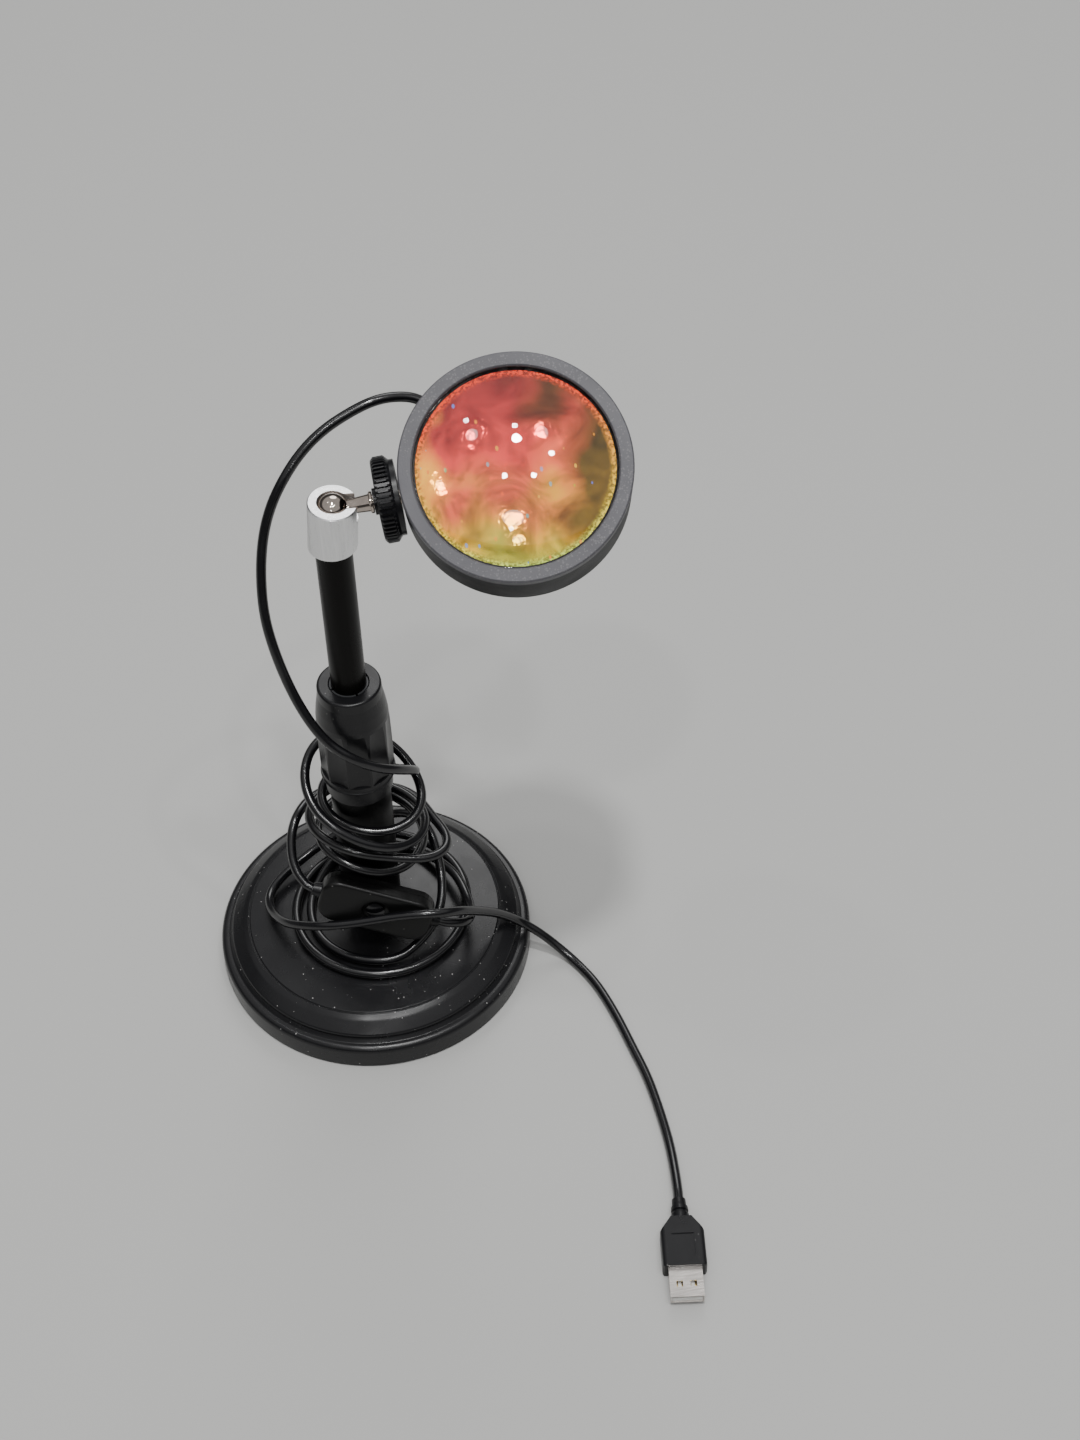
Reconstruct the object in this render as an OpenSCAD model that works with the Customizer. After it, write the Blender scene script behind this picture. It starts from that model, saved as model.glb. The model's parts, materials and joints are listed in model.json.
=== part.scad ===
// Projection lamp: weighted base, telescopic pole with a twist lock, ball joint,
// round head with a domed lens, and a lead with an in-line switch wound round the pole.
// The origin is the middle of the underside, +Z is up, and the ball stud points along +X.

/* [Base] */
// Diameter of the base
base_d = 123; // [120:1:126]
// Height of the straight rim of the base
base_rim_h = 10.8; // [10:0.2:11.6]
// Height of the flat seat in the middle of the base
base_h = 20.9; // [20.5:0.1:21.3]
// Thickness of the cover's metal
cover_wall = 1.6; // [1.2:0.2:2]
// Thickness of the pad under the base
pad_h = 1.5; // [1:0.5:1.5]

/* [Pole] */
// Diameter of the fixed lower tube
lower_tube_d = 22.4; // [21.6:0.2:22.8]
// Height of the top of the lower tube
lower_tube_top = 96; // [94:1:98]
// Height of the underside of the twist grip
grip_z = 104.5; // [104:0.5:105]
// Length of the twist grip
grip_h = 46; // [44:1:48]
// Radius of the twist grip's body
grip_r = 13.4; // [13.2:0.1:13.6]
// Number of flutes in the grip
flute_count = 10; // [6:1:12]
// Diameter of the sliding inner tube
inner_tube_d = 12.5; // [12.3:0.1:12.6]
// Height of the foot of the inner tube
inner_tube_foot = 76; // [76:1:80]

/* [Ball joint] */
// Height of the underside of the ball socket
socket_z = 217; // [216:0.1:218]
// Diameter of the ball socket
socket_d = 16.6; // [16.2:0.1:17]
// Length of the ball socket
socket_h = 19.4; // [19:0.1:19.8]
// Lean of the socket towards the stud, in degrees
socket_lean = 4; // [3:0.5:5]
// Diameter of the ball
ball_d = 11; // [10.8:0.1:11.2]
// Rise of the stud above the horizontal, in degrees
stud_rise = 5.9; // [5:0.1:7]
// Diameter of the stud's shaft
shaft_d = 5; // [4.8:0.1:5.2]
// Diameter of the lock nut
nut_d = 28.4; // [27:0.2:28.8]
// Number of ribs on the lock nut
nut_ribs = 50; // [40:2:54]

/* [Head] */
// Diameter of the head
head_d = 76; // [74:1:78]
// Length of the straight shell of the head
head_h = 24.6; // [24:0.2:26]
// Diameter of the opening in front of the lens
opening_d = 66.4; // [65:0.2:67]
// Distance from the ball to the axis of the head
head_reach = 60.5; // [60:0.5:61]
// Turn of the head about the stud, in degrees
head_turn = 33.5; // [0:0.5:60]
// Height of the lens's dome
lens_sag = 7.5; // [5:0.5:9]
// Diameter of the rear housing
rear_d = 54; // [54:1:55]
// Length of the rear housing
rear_h = 25; // [24:1:27]
// Number of cooling fins
fin_count = 7; // [5:1:9]

/* [Cord, switch and plug] */
// Diameter of the cord
cord_d = 3.6; // [3.4:0.1:3.6]
// Length of the switch case
switch_l = 43.6; // [43.2:0.2:44.4]
// Width of the switch case
switch_w = 19.2; // [18.8:0.2:19.6]
// Thickness of the switch case
switch_t = 10; // [9.8:0.1:10.2]
// Travel of the switch button
press = 1.2; // [0.8:0.1:1.2]
// Length of the plug's grip
plug_body_l = 19.5; // [18:0.5:20]
// Width of the plug's grip
plug_body_w = 15.8; // [15:0.2:16]

/* [Hidden] */
$fn = 96;

satin_black = "#232425";
pad_grey = "#3a3a3c";
bare_steel = "#9ea2a6";
brushed = "#c3c5c8";
nickel = "#d6d0c6";
charcoal = "#4b4d51";
brass_gold = "#c9a24a";

running = 0.07;          // radial clearance of a turning or sliding fit
seat = 0.02;             // radial clearance of a fixed fit
eps = 0.01;              // overshoot of a cutting tool

// Points of an arc about [cx, cy] from angle a0 to a1
function arc(cx, cy, r, a0, a1, n = 8) =
    [for (i = [0:n]) let (a = a0 + (a1 - a0) * i / n) [cx + r * cos(a), cy + r * sin(a)]];

// Corner points of a rectangle w by h with rounded corners
function round_rect(w, h, r, n = 6) =
    concat(arc(w / 2 - r, h / 2 - r, r, 0, 90, n), arc(r - w / 2, h / 2 - r, r, 90, 180, n),
           arc(r - w / 2, r - h / 2, r, 180, 270, n), arc(w / 2 - r, r - h / 2, r, 270, 360, n));

module ring(r_out, r_in, z0, z1) {
    translate([0, 0, z0])
        difference() {
            cylinder(r = r_out, h = z1 - z0);
            translate([0, 0, -eps])
                cylinder(r = r_in, h = z1 - z0 + 2 * eps);
        }
}

// ---- Base ----

base_r = base_d / 2;
plateau_r = base_r - 4.6;
groove_r = 49.6;
groove_z = 18.6;
seat_r = 12.5;
bolt_r = 4;
weight_top_z = 18.6;
counterbore_z = 8;

function cover_outline() =
    let (rim = 2.5, shoulder = 1.3, groove_w = 0.5, groove_depth = 0.55)
    concat(
        [[base_r, 0.6]],
        arc(base_r - rim, base_rim_h - rim, rim, 0, 90),
        [[plateau_r + shoulder, base_rim_h]],
        arc(plateau_r + shoulder, base_rim_h + shoulder, shoulder, 270, 180, 4),
        arc(plateau_r - shoulder, base_rim_h + shoulder + 0.6, shoulder, 0, 60, 4),
        [[groove_r + 2.6, groove_z - 1.3], [groove_r + groove_w, groove_z - 0.2],
         [groove_r, groove_z - groove_depth], [groove_r - groove_w, groove_z],
         [36, 19.75], [24, 20.45], [seat_r, base_h - 0.05], [seat_r, base_h], [bolt_r + 0.1, base_h],
         [bolt_r + 0.1, base_h - cover_wall - 0.6], [24, 20.45 - cover_wall], [36, 19.75 - cover_wall],
         [groove_r - 1.2, groove_z - cover_wall - 0.6], [plateau_r - 2.4, base_rim_h + 0.6],
         [plateau_r - 1.6, base_rim_h - cover_wall], [base_r - 2 * cover_wall, base_rim_h - cover_wall],
         [base_r - cover_wall, base_rim_h - 2 * cover_wall], [base_r - cover_wall, 0.6]]
    );

module base_cover() {
    color(satin_black)
        rotate_extrude($fn = 180)
            polygon(cover_outline());
}

module base_weight() {
    edge_r = plateau_r - 3;
    color("#4a4643")
        difference() {
            rotate_extrude()
                polygon([[bolt_r + 0.2, pad_h], [base_r - 5, pad_h], [base_r - 5, 5], [edge_r, 9],
                         [edge_r - 8, 14.8], [30, 17.2], [11, 17.6], [10, weight_top_z - 0.4],
                         [bolt_r + 0.2, weight_top_z - 0.4]]);
            translate([0, 0, -eps])
                cylinder(r = 8, h = counterbore_z + eps);
        }
}

module foot_pad() {
    color(pad_grey)
        cylinder(r = base_r - 2.5, h = pad_h);
}

module pole_bolt() {
    head_z = counterbore_z - 6.2;
    washer_z = counterbore_z - 1.4;
    color(bare_steel) {
        difference() {
            translate([0, 0, head_z])
                cylinder(r = 6.5, h = washer_z - head_z);
            translate([0, 0, head_z - eps])
                cylinder(r = 3.4, h = 3, $fn = 6);
        }
        translate([0, 0, washer_z])
            cylinder(r = bolt_r, h = 21.5);
    }
}

module bolt_washer() {
    color(bare_steel)
        ring(7.6, bolt_r + 0.15, counterbore_z - 1.4, counterbore_z);
}

// ---- Pole ----

lower_tube_r = lower_tube_d / 2;
lower_bore_r = 9;
plug_top_z = 29.2;
inner_r = inner_tube_d / 2;
inner_bore_r = inner_r - 1.1;
sleeve_r = 8.6;
lip_r = 7;
lip_h = 7;
collar_r = 12.4;
grip_top = grip_z + grip_h;

module lower_tube() {
    color(satin_black)
        ring(lower_tube_r, lower_bore_r, base_h, lower_tube_top);
}

module tube_plug() {
    color(bare_steel)
        ring(lower_bore_r - seat, bolt_r + seat, base_h, plug_top_z);
}

module tube_collar() {
    color(satin_black)
        rotate_extrude()
            polygon(concat(
                [[lower_bore_r + seat, lower_tube_top], [lower_tube_r + 0.3, lower_tube_top],
                 [collar_r, lower_tube_top + 1.2]],
                arc(collar_r - 1, grip_z - 1.2, 1, 0, 90, 4),
                [[lower_bore_r + seat, grip_z - 0.2]]));
}

module collet() {
    slit_w = 0.9;
    slit_z = lower_tube_top + 12;
    shoulder_z = grip_top - lip_h - 1.8;
    color("#3b3d3f")
        difference() {
            union() {
                ring(lower_bore_r, inner_r + running, lower_tube_top - 1.5, grip_z - 0.2);
                ring(sleeve_r, inner_r + running, grip_z - 0.2 - eps, shoulder_z);
                ring(lip_r - running, inner_r + running, shoulder_z - eps, grip_top - 0.2);
            }
            for (a = [20, 110])
                rotate([0, 0, a])
                    translate([-10, -slit_w / 2, slit_z])
                        cube([20, slit_w, grip_h]);
        }
}

module twist_grip() {
    flute_r = 25;
    flute_depth = 0.85;
    flute_h = 27;
    rim_h = 3.2;
    color(satin_black)
        difference() {
            rotate_extrude()
                polygon(concat(
                    [[sleeve_r + 0.6, grip_z], [grip_r + 0.1, grip_z]],
                    arc(grip_r - 0.1, grip_z + 0.7, 0.5, -60, 60, 4),
                    [[grip_r, grip_z + 1.6], [grip_r, grip_z + 16], [grip_r - 0.14, grip_z + 26],
                     [grip_r - 0.4, grip_z + 32], [grip_r - 0.95, grip_z + 36.5],
                     [grip_r - 1.75, grip_z + 41.5]],
                    arc(10.5, grip_top - 1, 1, 12, 90, 4),
                    [[lip_r + 0.4, grip_top], [lip_r, grip_top - 0.4], [lip_r, grip_top - lip_h],
                     [sleeve_r + 0.6, grip_top - lip_h - 1.5]]));
            for (i = [0:flute_count - 1])
                rotate([0, 0, 270 + 360 * i / flute_count])
                    translate([grip_r + flute_r - flute_depth, 0, grip_z + rim_h])
                        cylinder(r = flute_r, h = flute_h, $fn = 120);
        }
}

module inner_tube() {
    color("#1d1b1a")
        ring(inner_r, inner_bore_r, inner_tube_foot, socket_z - 1.5);
}

module guide_bush() {
    color("#dcdad4")
        ring(lower_bore_r - running, inner_r + seat, inner_tube_foot, inner_tube_foot + 6);
}

pivot_r = 3;
pivot_h = 4.7;

module pan_pivot() {
    color(bare_steel) {
        translate([0, 0, socket_z - 12])
            cylinder(r = inner_bore_r - seat, h = 10.5 + eps);
        translate([0, 0, socket_z - 1.5])
            cylinder(r = inner_r, h = 1.3);
        translate([0, 0, socket_z - 0.2 - eps])
            cylinder(r = pivot_r, h = pivot_h + 0.2);
    }
}

// ---- Ball joint ----

socket_r = socket_d / 2;
ball_r = ball_d / 2;
side_lean = 3.5;         // lean of the socket towards the front, in degrees
ball_depth = 15.97;      // distance from the socket's foot to the ball, along the leaning axis
socket_way = [sin(socket_lean) * cos(side_lean), -sin(side_lean), cos(socket_lean) * cos(side_lean)];
ball_at = [0, 0, socket_z] + ball_depth * socket_way;
pad_depth = 6;
mouth_r = 5.25;

// Places its children on the socket's leaning axis, with its foot at the origin
module at_socket() {
    translate([0, 0, socket_z])
        rotate([side_lean, socket_lean, 0])
            children();
}

// Places its children in the stud's own frame: the ball at the origin, the stud along +X
module at_stud() {
    translate(ball_at)
        rotate([0, -stud_rise, 0])
            children();
}

// A solid of revolution about the stud's axis
module about_stud(points) {
    at_stud()
        rotate([0, 90, 0])
            rotate_extrude()
                polygon(points);
}

module ball_socket() {
    slot_w = 6.8;
    chamfer = 0.4;
    color(brushed)
        difference() {
            at_socket()
                difference() {
                    rotate_extrude()
                        polygon([[0, -1], [socket_r, -1], [socket_r, socket_h - chamfer],
                                 [socket_r - chamfer, socket_h], [0, socket_h]]);
                    translate([0, 0, pad_depth])
                        cylinder(r = mouth_r + 0.02, h = 20);
                }
            translate([-20, -20, socket_z - 20])
                cube([40, 40, 20]);
            translate([0, 0, socket_z - eps])
                cylinder(r = pivot_r + 0.06, h = pivot_h + 0.2);
            translate(ball_at)
                sphere(r = ball_r + 0.06);
            translate([ball_at[0], ball_at[1] - slot_w / 2, ball_at[2] - 4.2])
                cube([20, slot_w, 20]);
        }
}

module ball_pad() {
    color("#e8e6df")
        difference() {
            at_socket()
                translate([0, 0, pad_depth])
                    cylinder(r = mouth_r, h = ball_depth - 4.6 - pad_depth);
            translate(ball_at)
                sphere(r = ball_r + 0.06);
        }
}

flange_x = 12.2;
flange_h = 1.2;
shaft_end = 27.8;
shaft_r = shaft_d / 2;

module ball_stud() {
    color(nickel)
        union() {
            translate(ball_at)
                sphere(r = ball_r);
            about_stud([[0, 0], [2.4, 4], [2.45, 5.6], [2.9, flange_x], [3.4, flange_x],
                        [3.65, flange_x + 0.3], [3.65, flange_x + flange_h - 0.3],
                        [3.4, flange_x + flange_h], [shaft_r, flange_x + flange_h],
                        [shaft_r, shaft_end - 0.4], [shaft_r - 0.4, shaft_end], [0, shaft_end]]);
        }
}

module stud_clip() {
    color(bare_steel)
        about_stud([[shaft_r + seat, 26.8], [4, 26.8], [4, 27.5], [shaft_r + seat, 27.5]]);
}

nut_x = 14.9;
nut_h = 5.8;
nut_r = nut_d / 2;
nut_hub_r = nut_r - 1.7;
rib_depth = 0.8;

// Outline of the ribbed rim: each rib is a flat tooth with sloping flanks
function nut_outline() =
    [for (i = [0:nut_ribs - 1], k = [0:3])
        let (pitch = 360 / nut_ribs, a = (i + [0, 0.3, 0.42, 0.88][k]) * pitch,
             r = nut_r - [0, 0, rib_depth, rib_depth][k])
        [r * cos(a), r * sin(a)]];

module ribbed_rim() {
    intersection() {
        translate([0, 0, nut_x])
            linear_extrude(height = nut_h)
                polygon(nut_outline());
        translate([0, 0, nut_x])
            rotate_extrude()
                polygon([[0, 0], [nut_r - 1.1, 0], [nut_r + eps, 1], [nut_r + eps, nut_h - 1.5],
                         [nut_r - 1.6, nut_h], [0, nut_h]]);
    }
}

module lock_nut() {
    bore_r = shaft_r + running;
    color(satin_black)
        at_stud()
            rotate([0, 90, 0])
                difference() {
                    union() {
                        difference() {
                            ribbed_rim();
                            translate([0, 0, nut_x - eps])
                                cylinder(r1 = nut_r - 3, r2 = nut_r - 3.8, h = 0.8);
                        }
                        translate([0, 0, nut_x - 1.3])
                            cylinder(r = 4.4, h = 2.5);
                        translate([0, 0, nut_x + nut_h - eps])
                            cylinder(r = nut_hub_r, h = 1.5);
                    }
                    translate([0, 0, nut_x - 2])
                        cylinder(r = bore_r, h = 12);
                }
}

// ---- Head ----

head_r = head_d / 2;
front_z = 10;
rear_z = front_z - head_h;
barrel_wall = 2;
barrel_bore_r = head_r - barrel_wall;
lip_t = 1.6;
lens_rim_r = 34.6;
lens_rim_z = 6.6;
seal_h = 0.7;
filter_h = 0.9;
board_z = rear_z + 4.6;
rear_flange_h = 1.7;
side_bush_r = 4.2;
rear_r = rear_d / 2;
gland_z = rear_z - 11.4;
gland_a = 122;
gland_end = rear_r + 4.5;

// Places its children in the barrel's frame: its axis is Z, and the lens looks along +Z
module at_barrel() {
    at_stud()
        rotate([head_turn, 0, 0])
            translate([head_reach, 0, 0])
                children();
}

module barrel_turned(points, colour, n = 180) {
    color(colour)
        at_barrel()
            rotate_extrude($fn = n)
                polygon(points);
}

module head_barrel() {
    rear_bore_r = 26.2;
    color(charcoal)
        difference() {
            at_barrel()
                difference() {
                    rotate_extrude($fn = 180)
                        polygon([[barrel_bore_r, rear_z + rear_flange_h], [barrel_bore_r, front_z - 4],
                                 [head_r, front_z - 4], [head_r, rear_z + 0.6], [head_r - 0.6, rear_z],
                                 [rear_bore_r, rear_z], [rear_bore_r, rear_z + rear_flange_h]]);
                    at_rear_screws()
                        cylinder(r = 1.22, h = 6, center = true);
                }
            at_stud()
                rotate([0, 90, 0])
                    cylinder(r = side_bush_r + seat, h = 30);
        }
}

module side_bush() {
    color(bare_steel)
        about_stud([[shaft_r + running, 22.6], [side_bush_r, 22.6], [side_bush_r, 26.6],
                    [shaft_r + running, 26.6]]);
}

module front_ring() {
    opening_r = opening_d / 2;
    spigot_r = lens_rim_r + 0.15;
    barrel_turned([[spigot_r, front_z - 4], [spigot_r, front_z - lip_t], [opening_r, front_z - lip_t],
                   [opening_r, front_z - 0.5], [opening_r + 0.5, front_z], [head_r - 0.5, front_z],
                   [head_r, front_z - 0.5], [head_r, front_z - 4 + eps], [head_r, front_z - 4]],
                  charcoal);
}

module lens() {
    edge_r = opening_d / 2 - 0.2;
    edge_z = front_z - lip_t - 0.05;
    dome_r = (edge_r * edge_r + lens_sag * lens_sag) / (2 * lens_sag);
    half_a = asin(edge_r / dome_r);
    barrel_turned(concat([[0, lens_rim_z], [lens_rim_r, lens_rim_z], [lens_rim_r, edge_z]],
                         arc(0, edge_z + lens_sag - dome_r, dome_r, 90 - half_a, 90, 24)),
                  "#e08a5a");
}

module lens_seal() {
    z0 = lens_rim_z - seal_h;
    barrel_turned([[32, z0], [lens_rim_r, z0], [lens_rim_r, lens_rim_z], [32, lens_rim_z]], "#202020");
}

module colour_filter() {
    z1 = lens_rim_z - seal_h - 0.1;
    barrel_turned([[0, z1 - filter_h], [32.3, z1 - filter_h], [32.3, z1], [0, z1]], "#d9a0c8");
}

module reflector() {
    flange_z = lens_rim_z - seal_h;
    ledge_z = flange_z - 0.1 - filter_h;
    barrel_turned([[8.5, board_z + 1.4], [9.6, board_z + 1.4], [31.6, ledge_z - 0.5], [35.6, ledge_z - 0.5],
                   [35.6, flange_z], [32.5, flange_z], [32.5, ledge_z], [30.8, ledge_z]],
                  "#e4e5e8");
}

module led_board() {
    color("#f0efe9")
        at_barrel()
            translate([0, 0, board_z])
                cylinder(r = 12, h = 1.4);
}

module led_chip() {
    chip = 9;
    color("#e8d25a")
        at_barrel()
            translate([-chip / 2, -chip / 2, board_z + 1.4])
                cube([chip, chip, 1.2]);
}

module heat_sink() {
    fin_t = 1.4;
    fin_pitch = 5;
    fin_end = rear_z - rear_h + 5;
    fin_r = 22.5;
    color("#aeb1b5")
        at_barrel()
            union() {
                ring_base_z = rear_z + rear_flange_h;
                translate([0, 0, ring_base_z])
                    cylinder(r = 30, h = board_z - ring_base_z);
                translate([0, 0, rear_z - 2])
                    cylinder(r = fin_r + 0.5, h = rear_flange_h + 2 + eps);
                intersection() {
                    translate([0, 0, fin_end])
                        cylinder(r = fin_r, h = rear_z - 2 - fin_end + eps);
                    for (i = [0:fin_count - 1])
                        translate([-fin_r, (i - (fin_count - 1) / 2) * fin_pitch - fin_t / 2, fin_end])
                            cube([2 * fin_r, fin_t, rear_z - 2 - fin_end + eps]);
                }
            }
}

module at_rear_screws() {
    for (a = [30, 150, 270])
        rotate([0, 0, a])
            translate([rear_r + 2.3, 0, rear_z])
                children();
}

module rear_housing() {
    wall = 1.8;
    back_z = rear_z - rear_h;
    corner = 4;
    flange_r = rear_r + 4.6;
    vent_count = 5;
    vent_w = 2.4;
    color(satin_black)
        at_barrel()
            difference() {
                rotate_extrude()
                    polygon(concat(
                        [[rear_r - wall, rear_z], [flange_r, rear_z], [flange_r, rear_z - wall],
                         [rear_r, rear_z - wall]],
                        arc(rear_r - corner, back_z + corner, corner, 0, -90),
                        [[0, back_z], [0, back_z + wall], [rear_r - corner - wall, back_z + wall],
                         [rear_r - wall, back_z + corner]]));
                at_rear_screws()
                    cylinder(r = 1.22, h = 6, center = true);
                for (i = [0:vent_count - 1], half_w = [15 - 2.2 * abs(i - 2)])
                    translate([-half_w, (i - 2) * 5.5 - vent_w / 2, back_z - 1])
                        cube([2 * half_w, vent_w, wall + 2]);
                rotate([0, 0, gland_a])
                    translate([rear_r - 6, 0, gland_z])
                        rotate([0, 90, 0])
                            cylinder(r = 2.9 + seat, h = 12);
            }
}

module rear_screws() {
    color(bare_steel)
        at_barrel()
            at_rear_screws()
                difference() {
                    union() {
                        translate([0, 0, -2.4])
                            cylinder(r = 1.2, h = 4);
                        translate([0, 0, -3.4])
                            cylinder(r1 = 1.6, r2 = 2.2, h = 1.6);
                    }
                    for (a = [0, 90])
                        rotate([0, 0, a])
                            translate([-1.2, -0.25, -3.5])
                                cube([2.4, 0.5, 0.9]);
                }
}

module cord_gland() {
    color("#1b1b1c")
        at_barrel()
            rotate([0, 0, gland_a])
                translate([0, 0, gland_z])
                    rotate([0, 90, 0])
                        rotate_extrude()
                            polygon([[0, rear_r - 3.4], [3.6, rear_r - 3.4], [3.6, rear_r - 2.1],
                                     [2.9, rear_r - 2.1], [2.9, rear_r], [3.8, rear_r],
                                     [3.8, rear_r + 1.2], [2.5, gland_end], [0, gland_end]]);
}

// ---- Switch ----

switch_at = [0.5, -20.45, 48.2];
switch_tilt = 16.5;      // fall of the switch towards its right end, in degrees
case_r = 7;
relief_l = 3;
shell_wall = 1.6;
face_wall = 2.8;
edge = 1.4;
back_edge = 2.2;
boss_r = 2.4;
screw_r = 1.1;
screw_head_r = 2;
screw_sink = 1.4;
recess_r = 5.35;
recess_depth = 1.8;
button_r = 3.5;
half_t = switch_t / 2;

// Places its children in the switch's frame: X runs along it, its face looks along -Y
module at_switch() {
    translate(switch_at)
        rotate([0, 0, -12])
            rotate([-12, 0, 0])
                rotate([0, switch_tilt, 0])
                    children();
}

// The case's outline extruded from depth y0 to y1, drawn in by the given margin
module case_slab(y0, y1, margin = 0) {
    translate([0, y1, 0])
        rotate([90, 0, 0])
            linear_extrude(height = y1 - y0)
                polygon(round_rect(switch_l - 2 * margin, switch_w - 2 * margin, case_r - margin));
}

module along_switch(r, y0, y1, x = 0) {
    translate([x, y1, 0])
        rotate([90, 0, 0])
            cylinder(r = r, h = y1 - y0);
}

module at_case_screws(r, y0, y1) {
    for (x = [-15, 15])
        along_switch(r, y0, y1, x);
}

module switch_front() {
    color(satin_black)
        at_switch()
            difference() {
                hull() {
                    case_slab(-half_t + edge, 0);
                    case_slab(-half_t, -half_t + 1, edge);
                }
                difference() {
                    case_slab(-half_t + face_wall, eps, shell_wall);
                    at_case_screws(boss_r, -half_t, 0);
                }
                at_case_screws(screw_r + seat, -2.1, eps);
                along_switch(recess_r, -half_t - eps, -half_t + recess_depth);
                along_switch(button_r + running, -half_t, -1);
            }
}

module switch_back() {
    color(satin_black)
        at_switch()
            difference() {
                hull() {
                    case_slab(0, half_t - back_edge);
                    case_slab(half_t - 1, half_t, back_edge);
                }
                difference() {
                    case_slab(-eps, half_t - face_wall, shell_wall);
                    at_case_screws(boss_r, 0, half_t);
                }
                at_case_screws(screw_r + seat, -eps, half_t + eps);
                at_case_screws(screw_head_r + 0.1, half_t - screw_sink, half_t + eps);
            }
}

module switch_button() {
    dome_r = 9;
    color("#2b2c2e")
        at_switch() {
            intersection() {
                along_switch(button_r, -half_t + 0.5, -half_t + face_wall + 0.2);
                translate([0, -half_t + 0.5 + dome_r, 0])
                    sphere(r = dome_r);
            }
            along_switch(4.6, -half_t + face_wall + 0.1, -half_t + face_wall + 0.9);
        }
}

module switch_board() {
    color("#2f6b46")
        at_switch()
            translate([-12, 0.9, -7])
                cube([24, half_t - face_wall - 0.9, 14]);
}

module switch_element() {
    color("#c9c9c9")
        at_switch()
            translate([-3, -0.05, -3])
                cube([6, 0.95, 6]);
}

module switch_screws() {
    color(bare_steel)
        at_switch()
            difference() {
                union() {
                    at_case_screws(screw_r, -2, half_t - screw_sink + eps);
                    at_case_screws(screw_head_r, half_t - screw_sink, half_t - 0.3);
                }
                for (x = [-15, 15])
                    translate([x - 1.2, half_t - 1, -0.25])
                        cube([2.4, 1, 0.5]);
            }
}

module switch_reliefs() {
    color(satin_black)
        at_switch()
            for (side = [0, 180])
                rotate([0, 0, side])
                    translate([switch_l / 2, 0, 0])
                        rotate([0, 90, 0])
                            cylinder(r1 = 3, r2 = 2.4, h = relief_l);
}

// ---- Plug ----

plug_at = [91.45, -166.9, 4.05];
plug_turn = 7;
plug_t = 8;
plug_relief_l = 8.4;
shell_l = 11.2;
shell_w = 12;
shell_t = 4.5;
shell_sheet = 0.35;

// Places its children in the plug's frame: +X is the way in, the grip's front face is X = 0
module at_plug() {
    translate(plug_at)
        rotate([0, 0, 270 - plug_turn])
            children();
}

module plug_relief() {
    neck_r = 2.6;
    rib_r = 3.3;
    base_x = -plug_body_l;
    end_x = base_x - plug_relief_l;
    color(satin_black)
        at_plug()
            rotate([0, 90, 0])
                rotate_extrude()
                    polygon([[0, end_x], [2.5, end_x], [2.6, end_x + 1.6], [neck_r, end_x + 1.9],
                             [neck_r, end_x + 2.9], [rib_r - 0.2, end_x + 3.1], [rib_r - 0.1, end_x + 4.6],
                             [neck_r, end_x + 4.9], [neck_r, end_x + 5.9], [rib_r, end_x + 6.1],
                             [rib_r + 0.1, base_x], [0, base_x]]);
}

module plug_body() {
    recess_l = 9;
    recess_w = 8;
    side_y = plug_body_w / 2;
    shoulder_y = 3.7;
    shoulder_l = 5.6;
    color(satin_black)
        at_plug()
            difference() {
                intersection() {
                    translate([0, 0, -plug_t / 2])
                        linear_extrude(height = plug_t)
                            polygon([[-0.6, side_y], [0, side_y - 0.6], [0, 0.6 - side_y], [-0.6, -side_y],
                                     [shoulder_l - plug_body_l, -side_y], [-plug_body_l, -shoulder_y],
                                     [-plug_body_l, shoulder_y], [shoulder_l - plug_body_l, side_y]]);
                    rotate([0, -90, 0])
                        linear_extrude(height = plug_body_l)
                            polygon(round_rect(plug_t, plug_body_w, 1.6));
                }
                translate([-3.6 - recess_l, -recess_w / 2, plug_t / 2 - 0.4])
                    cube([recess_l, recess_w, 1]);
            }
}

module plug_shell() {
    hole_w = 2.3;
    hole_x = 5.1;
    color("#c8cacc")
        at_plug()
            difference() {
                translate([0, -shell_w / 2, -shell_t / 2])
                    cube([shell_l, shell_w, shell_t]);
                translate([-eps, -shell_w / 2 + shell_sheet, -shell_t / 2 + shell_sheet])
                    cube([shell_l + 1, shell_w - 2 * shell_sheet, shell_t - 2 * shell_sheet]);
                for (y = [-2.5, 2.5])
                    translate([hole_x, y - hole_w / 2, -shell_t])
                        cube([hole_w, hole_w, 2 * shell_t]);
            }
}

tongue_t = 1.85;
tongue_w = shell_w - 2 * shell_sheet - 0.1;
tongue_z = -shell_t / 2 + shell_sheet;

module plug_tongue() {
    color("white")
        at_plug()
            translate([0, -tongue_w / 2, tongue_z])
                cube([shell_l - 0.6, tongue_w, tongue_t]);
}

module plug_contacts() {
    color(brass_gold)
        at_plug()
            for (y = [-3.5, -1.2, 1.2, 3.5])
                translate([1.5, y - 0.55, tongue_z + tongue_t])
                    cube([7.6, 1.1, 0.12]);
}

// ---- Cord ----

cord_r = cord_d / 2;
coil_sides = 6;
cord_sides = 8;
rings_per_loop = 24;

function unit(v) = v / norm(v);

// Smooth value at place f (0 to 1) between b and c
function glide(a, b, c, d, f) =
    0.5 * (2 * b + (c - a) * f + (2 * a - 5 * b + 4 * c - d) * f * f + (3 * b - a - 3 * c + d) * f * f * f);

function clamp(i, n) = max(0, min(n, i));

// Smooth value of the list v at place q, where q counts its entries
function along(v, q) =
    let (n = len(v) - 1, i = min(floor(q), n - 1))
    glide(v[clamp(i - 1, n)], v[i], v[i + 1], v[clamp(i + 2, n)], q - i);

// A bulge that fades out on both sides of its middle
function bump(a, middle, width) = exp(-pow((a - middle) / width, 2));

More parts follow.
